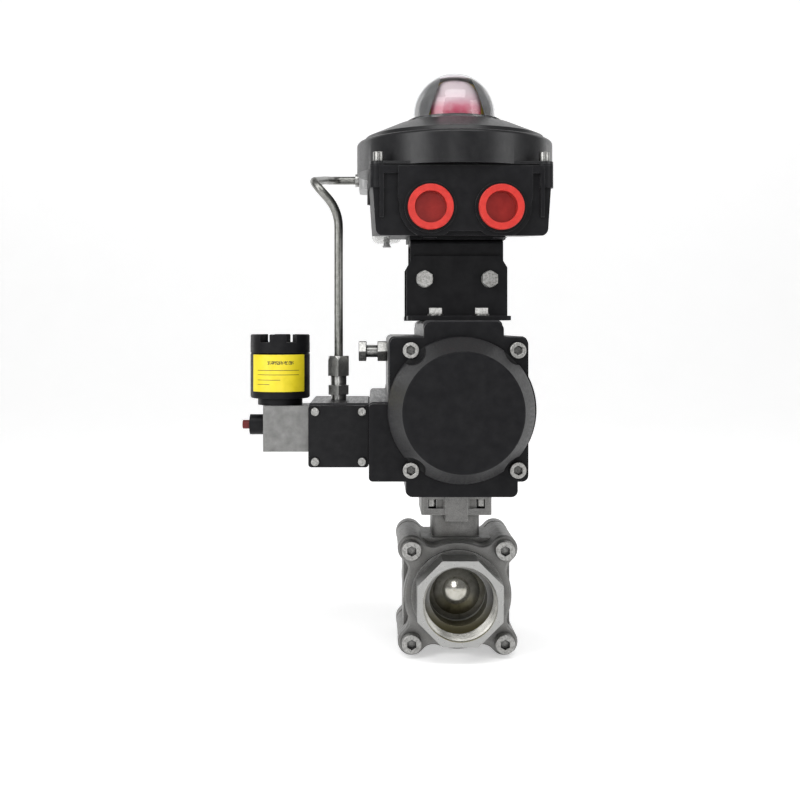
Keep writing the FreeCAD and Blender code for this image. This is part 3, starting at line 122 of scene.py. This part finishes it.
def set_lights():
    """Soft boxes left, right and above, strips for the edges, and a small box near the lens."""
    area_light("key", (-1.1, -1.0, 0.6), (0.7, 1.3), 13)
    area_light("fill", (1.2, -0.8, 0.3), (0.6, 1.3), 8)
    area_light("top", (0.0, -0.75, 1.15), (1.1, 0.55), 9)
    area_light("rim_left", (-1.0, 0.8, 0.3), (0.4, 1.4), 2.5)
    area_light("rim_right", (1.0, 0.8, 0.3), (0.4, 1.4), 1.5)
    area_light("lens_box", (-0.12, -1.5, 0.12), (0.22, 0.30), 1.6)
    world = bpy.data.worlds.new("studio")
    world.use_nodes = True
    background = world.node_tree.nodes["Background"]
    background.inputs["Color"].default_value = (1, 1, 1, 1)
    background.inputs["Strength"].default_value = 0.30
    bpy.context.scene.world = world


def set_floor():
    """A pale sweep: a floor that curves up into a backdrop, well behind the object."""
    floor_z = CAD_BOUNDS[0][2] - 0.5 * MM
    front, behind, radius, top, half_width, steps = -2.5, 1.6, 0.9, 3.5, 4.0, 24
    turns = [math.radians(90) * step / steps for step in range(steps + 1)]
    profile = [(front, 0.0)]
    profile += [
        (behind + radius * math.sin(turn), radius - radius * math.cos(turn)) for turn in turns
    ]
    profile.append((behind + radius, top))
    mesh = bpy.data.meshes.new("sweep")
    points = [(x, y, floor_z + z) for y, z in profile for x in (-half_width, half_width)]
    faces = [(2 * k, 2 * k + 1, 2 * k + 3, 2 * k + 2) for k in range(len(profile) - 1)]
    mesh.from_pydata(points, [], faces)
    mesh.shade_smooth()
    floor = bpy.data.objects.new("sweep", mesh)
    bpy.context.scene.collection.objects.link(floor)
    floor.data.materials.append(pale_floor())


# --- Materials --------------------------------------------------------------------------


class Shader:
    """A short way to write node trees: each call adds a node and links its inputs."""

    def __init__(self, name):
        self.material = bpy.data.materials.new(name)
        self.material.use_nodes = True
        self.tree = self.material.node_tree
        self.shader = self.tree.nodes["Principled BSDF"]

    def add(self, kind, values=None, links=None, **settings):
        """Adds a node; `values` and `links` go to its inputs, `settings` to the node itself."""
        node = self.tree.nodes.new(kind)
        for key, value in settings.items():
            setattr(node, key, value)
        for key, value in (values or {}).items():
            node.inputs[key].default_value = value
        for key, source in (links or {}).items():
            self.tree.links.new(source, node.inputs[key])
        return node

    def coordinates(self, scale=(1, 1, 1)):
        """Object coordinates in millimetres, stretched by a scale."""
        place = self.add("ShaderNodeTexCoord").outputs["Object"]
        factors = tuple(part / MM for part in scale)
        mapping = self.add("ShaderNodeMapping", {"Scale": factors}, {"Vector": place})
        return mapping.outputs["Vector"]

    def noise(self, size, detail=3.0, rough=0.55, scale=(1, 1, 1)):
        """Noise whose features are about `size` millimetres across, from 0 to 1."""
        values = {"Scale": 1.0 / size, "Detail": detail, "Roughness": rough}
        node = self.add("ShaderNodeTexNoise", values, {"Vector": self.coordinates(scale)})
        return node.outputs["Fac"]

    def ramp(self, source, stops):
        """A colour for each value, from (position, colour) stops."""
        node = self.add("ShaderNodeValToRGB", links={"Fac": source})
        elements = node.color_ramp.elements
        while len(elements) < len(stops):
            elements.new(0.5)
        for element, (position, colour) in zip(elements, stops):
            element.position = position
            element.color = (*colour, 1)
        return node.outputs["Color"]

    def mottle(self, size, low, high, detail=3.0):
        """Soft patches between two colours."""
        return self.ramp(self.noise(size, detail), [(0.3, low), (0.7, high)])

    def span(self, source, low, high, from_low=0.3, from_high=0.7):
        """Stretches a value's range, noise's usual one if none is given, to low..high."""
        values = {"From Min": from_low, "From Max": from_high, "To Min": low, "To Max": high}
        return self.add("ShaderNodeMapRange", values, {"Value": source}).outputs["Result"]

    def mix(self, factor, first, second):
        """Mixes two colours by a socket's value; each colour may be a socket too."""
        node = self.add("ShaderNodeMix", data_type="RGBA")
        factor_input, first_input, second_input = (node.inputs[k] for k in (0, 6, 7))
        self.tree.links.new(factor, factor_input)
        for socket, value in ((first_input, first), (second_input, second)):
            if isinstance(value, bpy.types.NodeSocket):
                self.tree.links.new(value, socket)
            else:
                socket.default_value = (*value, 1)
        return node.outputs[2]

    def bump(self, height, strength, distance, normal=None):
        """Relief of `distance` millimetres, on top of another relief if one is given."""
        links = {"Height": height}
        if normal is not None:
            links["Normal"] = normal
        values = {"Strength": strength, "Distance": distance * MM}
        return self.add("ShaderNodeBump", values, links).outputs["Normal"]

    def cavity(self, distance):
        """1 in the open, lower where other surfaces stand within `distance` millimetres."""
        values = {"Distance": distance * MM}
        return self.add("ShaderNodeAmbientOcclusion", values, samples=6).outputs["AO"]

    def shaded(self, tone, distance, share, shadow):
        """The tone, mixed with a shadow colour by up to `share` in corners and crevices."""
        depth = self.span(self.cavity(distance), share, 0.0, 0.3, 0.95)
        return self.mix(depth, tone, shadow)

    def axis(self, name):
        """One object coordinate in millimetres."""
        place = self.coordinates()
        return self.add("ShaderNodeSeparateXYZ", links={"Vector": place}).outputs[name]

    def math(self, operation, first, second=0.0):
        node = self.add("ShaderNodeMath", operation=operation)
        for socket, value in zip(node.inputs, (first, second)):
            if isinstance(value, bpy.types.NodeSocket):
                self.tree.links.new(value, socket)
            else:
                socket.default_value = value
        return node.outputs[0]

    def radius(self, x=0.0, z=0.0):
        """Millimetres from a line along Y, which passes through x and z."""
        across = self.math("POWER", self.math("SUBTRACT", self.axis("X"), x), 2.0)
        up = self.math("POWER", self.math("SUBTRACT", self.axis("Z"), z), 2.0)
        return self.math("POWER", self.math("ADD", across, up), 0.5)

    def between(self, value, low, high):
        """1 where the value lies between two limits, else 0."""
        above = self.math("GREATER_THAN", value, low)
        return self.math("MULTIPLY", above, self.math("LESS_THAN", value, high))

    def edges(self, size):
        """1 along convex and concave edges about `size` millimetres wide, 0 on flat faces."""
        soft = self.add("ShaderNodeBevel", {"Radius": size * MM}, samples=4).outputs["Normal"]
        flat = self.add("ShaderNodeNewGeometry").outputs["Normal"]
        node = self.add("ShaderNodeVectorMath", operation="DOT_PRODUCT")
        self.tree.links.new(soft, node.inputs[0])
        self.tree.links.new(flat, node.inputs[1])
        return self.span(node.outputs["Value"], 1.0, 0.0, 0.80, 0.99)

    def put(self, **sockets):
        """Sets the surface's sockets; names use underscores for spaces."""
        for name, value in sockets.items():
            socket = self.shader.inputs[name.replace("_", " ")]
            if isinstance(value, bpy.types.NodeSocket):
                self.tree.links.new(value, socket)
            elif isinstance(value, tuple):
                socket.default_value = (*value, 1)
            else:
                socket.default_value = value
        return self.material


def grey(level):
    return (level, level, level)


def pale_floor():
    look = Shader("pale_floor")
    return look.put(
        Base_Color=look.mottle(60, grey(0.86), grey(0.88), 2), Roughness=0.9,
        Specular_IOR_Level=0.1, Emission_Color=grey(1.0), Emission_Strength=0.42,
    )


def edge_wear_and_highlight(look, tone, colour, size, share):
    """Edges mixed towards another colour in patches: partly wear, partly a painted edge highlight.
    """
    patches = look.span(look.noise(4, 3), 0.2, 1.0, 0.35, 0.6)
    worn_and_highlit = look.math("MULTIPLY", look.edges(size), patches)
    return look.mix(look.math("MULTIPLY", worn_and_highlit, share), tone, colour)


def cast_steel(name, low, high, painted_bore_reflection=0.0):
    """Investment-cast and blasted stainless steel: a fine grain over slow waviness.

    With a share of reflection, the faces at the pipe's two mouths are turned bright, and the bore's
    low side carries a warm painted reflection.
    """
    look = Shader(name)
    tone = look.mottle(9, low, high, 4)
    tone = look.mix(look.span(look.noise(0.35, 2), 0.0, 0.3), tone, (0.50, 0.50, 0.49))
    stains = look.span(look.noise(14, 5, 0.65), 0.0, 0.45, 0.5, 0.75)
    tone = look.mix(stains, tone, (0.14, 0.135, 0.12))
    tone = look.shaded(tone, 5, 0.75, (0.06, 0.058, 0.055))
    tone = edge_wear_and_highlight(look, tone, (0.62, 0.62, 0.61), 0.7, 0.5)
    wave = look.bump(look.noise(5, 3), 0.40, 0.30)
    grain = look.bump(look.noise(0.4, 2), 0.60, 0.07, wave)
    rough = look.span(look.noise(2.5, 3), 0.38, 0.54)
    if painted_bore_reflection:
        face_depth, rear_mouth = 0.25, 2 * STEM.y / MM
        radius = look.radius()
        at_front = look.math("LESS_THAN", look.axis("Y"), face_depth)
        at_rear = look.math("GREATER_THAN", look.axis("Y"), rear_mouth - face_depth)
        mouth = look.math("MAXIMUM", at_front, at_rear)
        waves = look.math("SINE", look.math("MULTIPLY", radius, TOOL_MARKS))
        rings = look.span(waves, 0.0, 1.0, -1, 1)
        tone = look.mix(mouth, tone, look.mix(rings, (0.28, 0.28, 0.275), (0.40, 0.40, 0.39)))
        rough = look.math("SUBTRACT", rough, look.math("MULTIPLY", mouth, 0.14))
        # painted reflection: a warm olive tint inside the bore, strongest at its bottom
        low_side = look.span(look.axis("Z"), painted_bore_reflection, 0.0, -20.0, -2.0)
        painted_reflection = look.math("MULTIPLY", look.math("LESS_THAN", radius, PORT_RADIUS), low_side)
        tone = look.mix(painted_reflection, tone, (0.16, 0.14, 0.06))
    return look.put(Base_Color=tone, Metallic=0.85, Roughness=rough, Normal=grain)


def turned_steel(name, low, high):
    """Machined stainless steel with fine tool marks."""
    look = Shader(name)
    tone = look.shaded(look.mottle(3, low, high), 2.5, 0.75, grey(0.04))
    tone = edge_wear_and_highlight(look, tone, (0.72, 0.72, 0.70), 0.4, 0.5)
    marks = look.bump(look.noise(0.9, 2, scale=(1, 9, 1)), 0.30, 0.05)
    rough = look.span(look.noise(0.8, 3), 0.26, 0.44)
    return look.put(Base_Color=tone, Metallic=1.0, Roughness=rough, Normal=marks)


def fastener_steel():
    """Dull steel with painted shade in its sockets, and small dents."""
    look = Shader("fastener_steel")
    tone = look.mottle(1.2, (0.20, 0.198, 0.19), (0.40, 0.397, 0.385))
    # painted shade: sockets and other recesses darkened towards black
    crevices = look.span(look.cavity(4), 0.95, 0.0, 0.35, 0.85)
    tone = look.mix(crevices, tone, grey(0.01))
    tone = edge_wear_and_highlight(look, tone, (0.55, 0.55, 0.53), 0.35, 0.5)
    dents = look.bump(look.noise(0.7, 3), 0.45, 0.08)
    rough = look.span(look.noise(0.6, 3), 0.24, 0.46)
    return look.put(Base_Color=tone, Metallic=1.0, Roughness=rough, Normal=dents)


def polished_ball():
    look = Shader("polished_ball")
    tone = look.mottle(14, (0.42, 0.41, 0.37), (0.52, 0.51, 0.46), 2)
    tone = look.mix(look.span(look.noise(3, 5, 0.7), 0.0, 0.5, 0.5, 0.7), tone, (0.2, 0.18, 0.12))
    rough = look.span(look.noise(4, 3), 0.10, 0.20)
    return look.put(Base_Color=tone, Metallic=1.0, Roughness=rough)


def black_coat(name, low, high, grain=0.6, rough=(0.38, 0.50), gloss=0.12, painted_highlight_ring=None):
    """Dark coated metal: faint mottling, the skin's fine texture, and edges paled by wear and by a
    painted edge highlight.

    The last argument, if given, is a painted highlight: a paler band around a line along Y, given
    as the line's x and z, two radii and a colour.
    """
    look = Shader(name)
    tone = look.shaded(look.mottle(7, low, high, 4), 3, 0.6, grey(0.002))
    # painted highlight: a paler band on the end cover's cone
    if painted_highlight_ring:
        x, z, inner, outer, colour = painted_highlight_ring
        tone = look.mix(look.between(look.radius(x, z), inner, outer), tone, colour)
    tone = edge_wear_and_highlight(look, tone, (0.05, 0.05, 0.052), 0.6, 0.8)
    wave = look.bump(look.noise(6, 2), 0.12, 0.12)
    skin = look.bump(look.noise(grain, 2), 0.35, 0.05, wave)
    roughness = look.span(look.noise(1.6, 3), *rough)
    return look.put(
        Base_Color=tone, Metallic=0.0, Roughness=roughness, Specular_IOR_Level=gloss, Normal=skin,
    )


def drawn_coat(name, low, high):
    """Dark anodised extrusion with faint die lines along Y."""
    look = Shader(name)
    tone = edge_wear_and_highlight(look, look.mottle(8, low, high), grey(0.10), 0.5, 0.6)
    lines = look.bump(look.noise(0.8, 2, scale=(1, 0.02, 1)), 0.40, 0.05)
    rough = look.span(look.noise(1.2, 2, scale=(1, 0.05, 1)), 0.30, 0.44)
    return look.put(Base_Color=tone, Metallic=0.3, Roughness=rough, Normal=lines)


def satin_alloy(name, low, high, metal):
    """Light alloy with a fine grain, bare or thinly coated."""
    look = Shader(name)
    tone = look.shaded(look.mottle(6, low, high), 2.5, 0.6, grey(0.05))
    tone = edge_wear_and_highlight(look, tone, grey(0.6), 0.5, 0.5)
    grain = look.bump(look.noise(0.5, 2, scale=(1, 0.3, 1)), 0.35, 0.05)
    rough = look.span(look.noise(1.1, 3), 0.34, 0.48)
    return look.put(Base_Color=tone, Metallic=metal, Roughness=rough, Normal=grain)


def moulded(name, low, high, rough=(0.35, 0.45), shadow=grey(0.004), scatter=0.0, gloss=0.3,
            reach=4):
    """Moulded plastic. `reach` is how far its shadows spread from a corner, in millimetres."""
    look = Shader(name)
    tone = look.shaded(look.mottle(5, low, high), reach, 0.55, shadow)
    skin = look.bump(look.noise(0.5, 2), 0.22, 0.03)
    roughness = look.span(look.noise(1.0, 3), *rough)
    return look.put(
        Base_Color=tone, Roughness=roughness, Normal=skin, Subsurface_Weight=scatter,
        Subsurface_Scale=0.002, Specular_IOR_Level=gloss,
    )


def indicator_red():
    """The rotor's red quarters: deep red at the foot, paler towards the crown, where the paleness
    is a painted reflection.
    """
    look = Shader("indicator_red")
    low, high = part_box("indicator_red")
    # painted reflection: the red turns pale pink towards the crown
    height = look.span(look.axis("Z"), 0.0, 1.0, low.z / MM + 4, high.z / MM - 8)
    tone = look.ramp(height, [(0.0, (0.42, 0.01, 0.06)), (0.25, (0.47, 0.10, 0.16)),
                              (0.5, (0.47, 0.31, 0.35)), (0.8, (0.52, 0.44, 0.46))])
    tone = look.mix(look.span(look.noise(5, 3), 0.0, 0.35), tone, (0.60, 0.50, 0.52))
    return look.put(Base_Color=tone, Roughness=look.span(look.noise(2, 2), 0.3, 0.42))


def label_face():
    """A yellow label with a dark heading and ruled lines; none of it is readable."""
    look = Shader("label_face")
    low, high = (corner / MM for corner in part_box("label_plate"))
    wide, tall = high.x - low.x, high.z - low.z
    across, up = look.axis("X"), look.axis("Z")
    half_line = 0.22

    def patch(left, right, bottom, top):
        """1 inside a rectangle: left and right as shares of the width, heights in millimetres."""
        inside = look.between(across, low.x + left * wide, low.x + right * wide)
        return look.math("MULTIPLY", inside, look.between(up, bottom, top))

    blots = look.math("GREATER_THAN", look.noise(0.9, 2), 0.46)
    heading = patch(0.30, 0.80, high.z - 0.27 * tall, high.z - 0.17 * tall)
    ink = look.math("MULTIPLY", heading, blots)
    for drop, end in ((0.42, 0.90), (0.54, 0.90), (0.68, 0.55), (0.80, 0.34)):
        middle = high.z - drop * tall
        line = patch(0.10, end, middle - half_line, middle + half_line)
        ink = look.math("MAXIMUM", ink, line)
    tone = look.mottle(5, (0.68, 0.55, 0.012), (0.76, 0.62, 0.02))
    tone = look.mix(look.math("MULTIPLY", ink, 0.85), tone, (0.03, 0.025, 0.01))
    return look.put(Base_Color=tone, Roughness=look.span(look.noise(2, 2), 0.32, 0.42))


def indicator_mask():
    """The dome's dark insert, with a pale band over its crown that is a painted highlight."""
    look = Shader("indicator_mask")
    half_band, crown_depth = 10.2, 8
    crown_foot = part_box("indicator_mask")[1].z / MM - crown_depth
    # painted highlight: the pale band over the crown
    crown = look.math("MULTIPLY", look.between(look.axis("X"), -half_band, half_band),
                      look.math("GREATER_THAN", look.axis("Z"), crown_foot))
    tone = look.mix(crown, look.mottle(5, grey(0.10), grey(0.14)), (0.66, 0.62, 0.64))
    return look.put(
        Base_Color=tone, Roughness=look.span(look.noise(1, 3), 0.42, 0.55), Specular_IOR_Level=0.15,
    )


def pale_bowl():
    """A slightly milky polycarbonate bowl."""
    look = Shader("pale_bowl")
    rough = look.span(look.noise(3, 3), 0.04, 0.08)
    return look.put(
        Base_Color=(0.80, 0.80, 0.79), Roughness=rough, Transmission_Weight=0.85, IOR=1.10,
    )


def clear_dome():
    """A thin clear dome: it hardly bends light, and its coat carries the reflections."""
    look = Shader("clear_dome")
    rough = look.span(look.noise(3, 3), 0.02, 0.06)
    return look.put(
        Base_Color=(0.97, 0.97, 0.98), Roughness=rough, Transmission_Weight=1.0, IOR=1.02,
        Coat_Weight=0.7, Coat_Roughness=0.03, Coat_IOR=1.35,
    )


# --- Pieces -----------------------------------------------------------------------------


def refined(node, material, bevel):
    """A copy of a CAD node with clean faces, softened edges and a finished material.

    `bevel` is the width of the softened edges in millimetres, 0 for none.
    """
    mesh = NODES[node].data.copy()
    mesh.name = node
    work = bmesh.new()
    work.from_mesh(mesh)
    bmesh.ops.remove_doubles(work, verts=work.verts, dist=1e-6)
    bmesh.ops.dissolve_limit(
        work, angle_limit=FLAT_ANGLE, verts=work.verts, edges=work.edges, delimit={"NORMAL"},
    )
    work.to_mesh(mesh)
    work.free()
    mesh.materials.clear()
    mesh.materials.append(material)
    piece = bpy.data.objects.new(f"{node}_look", mesh)
    bpy.context.scene.collection.objects.link(piece)
    mesh.shade_smooth()
    if bevel:
        rounding = piece.modifiers.new("rounding", "BEVEL")
        rounding.width = bevel * MM
        rounding.segments = 2
        rounding.limit_method = "ANGLE"
        rounding.angle_limit = SHARP_ANGLE
    mesh.set_sharp_from_angle(angle=SHARP_ANGLE)
    weighted = piece.modifiers.new("face_weighted_normals", "WEIGHTED_NORMAL")
    weighted.keep_sharp = True
    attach(piece, BODY_OF[node])
    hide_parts(node)


def thread(name, mouth, inward, root, crest, pitch, depth, material):
    """A female thread: a helical ridge that stands on a bore's wall and fades at both ends.

    `mouth` is the centre of the opening and `inward` the direction into the hole; `root` and
    `crest` are radii. Lengths are in millimetres.
    """
    steps_a_turn, fade_steps = 72, 20
    steps = depth / pitch * steps_a_turn
    section = ((0.0, root), (0.42, crest), (0.58, crest), (1.0, root))
    side = Vector((0, 0, 1)) if abs(inward.z) < 0.5 else Vector((1, 0, 0))
    across = inward.cross(side).normalized()
    work = bmesh.new()
    rows = []
    for step in range(int(steps) + 1):
        angle = 2 * math.pi * step / steps_a_turn
        start = pitch * step / steps_a_turn
        fade = min(1.0, step / fade_steps, (steps - step) / fade_steps)
        spoke = side * math.cos(angle) + across * math.sin(angle)
        row = []
        for share, radius in section:
            reach = root + (radius - root) * fade
            offset = inward * (start + share * pitch) + spoke * reach
            row.append(work.verts.new(mouth + offset * MM))
        rows.append(row)
    for row, following in zip(rows, rows[1:]):
        for k in range(len(section) - 1):
            work.faces.new((row[k], row[k + 1], following[k + 1], following[k]))
    bmesh.ops.recalc_face_normals(work, faces=work.faces)
    mesh = bpy.data.meshes.new(name)
    work.to_mesh(mesh)
    work.free()
    mesh.materials.append(material)
    piece = bpy.data.objects.new(name, mesh)
    bpy.context.scene.collection.objects.link(piece)
    mesh.shade_smooth()
    mesh.set_sharp_from_angle(angle=math.radians(35))
    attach(piece, "housing")


STEEL = fastener_steel()
CAST = cast_steel("cast_steel", (0.085, 0.084, 0.081), (0.15, 0.148, 0.143))
CAP_CAST = cast_steel("cap_cast_steel", (0.10, 0.099, 0.096), (0.17, 0.168, 0.162), 0.75)
TURNED = turned_steel("turned_steel", (0.17, 0.17, 0.158), (0.27, 0.27, 0.255))
BRIGHT = turned_steel("bright_steel", (0.34, 0.34, 0.33), (0.48, 0.48, 0.465))
THREAD = turned_steel("thread_steel", (0.26, 0.255, 0.235), (0.37, 0.365, 0.34))
POWDER = black_coat("powder_coat", (0.005, 0.005, 0.006), (0.010, 0.010, 0.011))
# the end covers carry a painted highlight, a paler ring on their cone
COVER_COAT = black_coat("cover_coat", (0.004, 0.004, 0.005), (0.009, 0.009, 0.010), 0.8,
                        painted_highlight_ring=(BORE.x + CONE_SHIFT, BORE.z, *CONE_RADII, (0.030, 0.030, 0.031)))
HOOD_COAT = black_coat("hood_coat", (0.006, 0.006, 0.007), (0.012, 0.012, 0.013),
                       rough=(0.28, 0.38), gloss=0.32)
BODY_COAT = drawn_coat("body_coat", (0.016, 0.016, 0.018), (0.030, 0.030, 0.033))
BLACK_PLASTIC = moulded("black_plastic", (0.006, 0.006, 0.007), (0.011, 0.011, 0.012),
                        gloss=0.14)
WHITE_PLASTIC = moulded("white_plastic", (0.60, 0.59, 0.55), (0.70, 0.69, 0.66), (0.4, 0.5),
                        grey(0.2))
RED_PLASTIC = moulded("red_plastic", (0.42, 0.022, 0.017), (0.53, 0.034, 0.026), (0.32, 0.42),
                      (0.10, 0.004, 0.004), 0.1, reach=12)
DARK_RED = moulded("dark_red_plastic", (0.10, 0.008, 0.008), (0.15, 0.012, 0.012))
YELLOW = moulded("yellow_plastic", (0.70, 0.54, 0.03), (0.80, 0.62, 0.05),
                 shadow=(0.3, 0.2, 0.01))
ALLOY = satin_alloy("satin_alloy", (0.30, 0.30, 0.31), (0.42, 0.42, 0.43), 0.9)
PALE_ALLOY = satin_alloy("pale_alloy", (0.16, 0.16, 0.156), (0.24, 0.24, 0.235), 0.8)
GREY_COAT = satin_alloy("grey_coat", grey(0.30), grey(0.38), 0.2)

FINISHES = {
    CAST: ["valve_body"],
    CAP_CAST: ["port_cap_front", "port_cap_rear"],
    BRIGHT: ["tube_fittings", "tube_nut", "gland_nut"],
    TURNED: ["valve_stem", "pinion_shaft", "stop_cam", "supply_tube", "switch_shaft",
             "armature", "springs_front", "springs_rear"],
    STEEL: ["body_bolts", "body_nuts", "pad_bolts", "end_cover_screws", "stop_bolts",
            "foot_bolts", "side_bolts", "box_bolts", "cover_screws", "spool_cover_screws"],
    POWDER: ["bracket_foot_front", "bracket_foot_rear", "bracket_bridge", "switch_housing",
             "regulator_bracket", "coil_housing", "coil_cap"],
    HOOD_COAT: ["switch_cover"],
    COVER_COAT: ["end_cover_front", "end_cover_rear"],
    BODY_COAT: ["actuator_body", "spool_valve_body"],
    BLACK_PLASTIC: ["spool_covers", "override_collar", "regulator_knob", "switch_units",
                    "cover_gaskets"],
    indicator_mask(): ["indicator_mask"],
    WHITE_PLASTIC: ["valve_seals", "seat_rings", "pinion_bearings"],
    RED_PLASTIC: ["entry_plugs", "switch_cams"],
    DARK_RED: ["override_button"],
    YELLOW: ["indicator_yellow"],
    ALLOY: ["piston_front", "piston_rear", "spool"],
    PALE_ALLOY: ["pilot_block"],
    GREY_COAT: ["regulator_body", "drain_valve"],
    pale_bowl(): ["filter_bowl"],
    indicator_red(): ["indicator_red"],
    label_face(): ["label_plate"],
    polished_ball(): ["ball"],
    clear_dome(): ["indicator_dome"],
}
NO_BEVEL = {"springs_front", "springs_rear", "supply_tube", "ball", "cover_gaskets",
            "indicator_dome"}
for finish, members in FINISHES.items():
    for member in members:
        refined(member, finish, 0.0 if member in NO_BEVEL else SOFT_EDGE)

MOUNTS = {mount["name"]: mount for mount in frame["record"]["mounts"]}
# Each threaded mount's pitch and the radius of its thread's crest.
for name, pitch, crest in (("pipe_port_front", 2.309, 22.6), ("pipe_port_rear", 2.309, 22.6),
                           ("air_inlet", 1.337, 5.9), ("coil_cable_entry", 1.5, 7.2)):
    mount = MOUNTS[name]
    inward = Vector(mount["axis"]) * -1
    start = Vector(mount["pos_m"]) + inward * LEAD_IN * MM
    root = mount["dims"]["r_mm"] - WALL_GAP
    depth = mount["dims"]["length_mm"] - 2 * pitch
    thread(f"{name}_thread", start, inward, root, crest, pitch, depth, THREAD)

set_camera()
set_lights()
set_floor()
bpy.context.scene.view_settings.view_transform = "Standard"
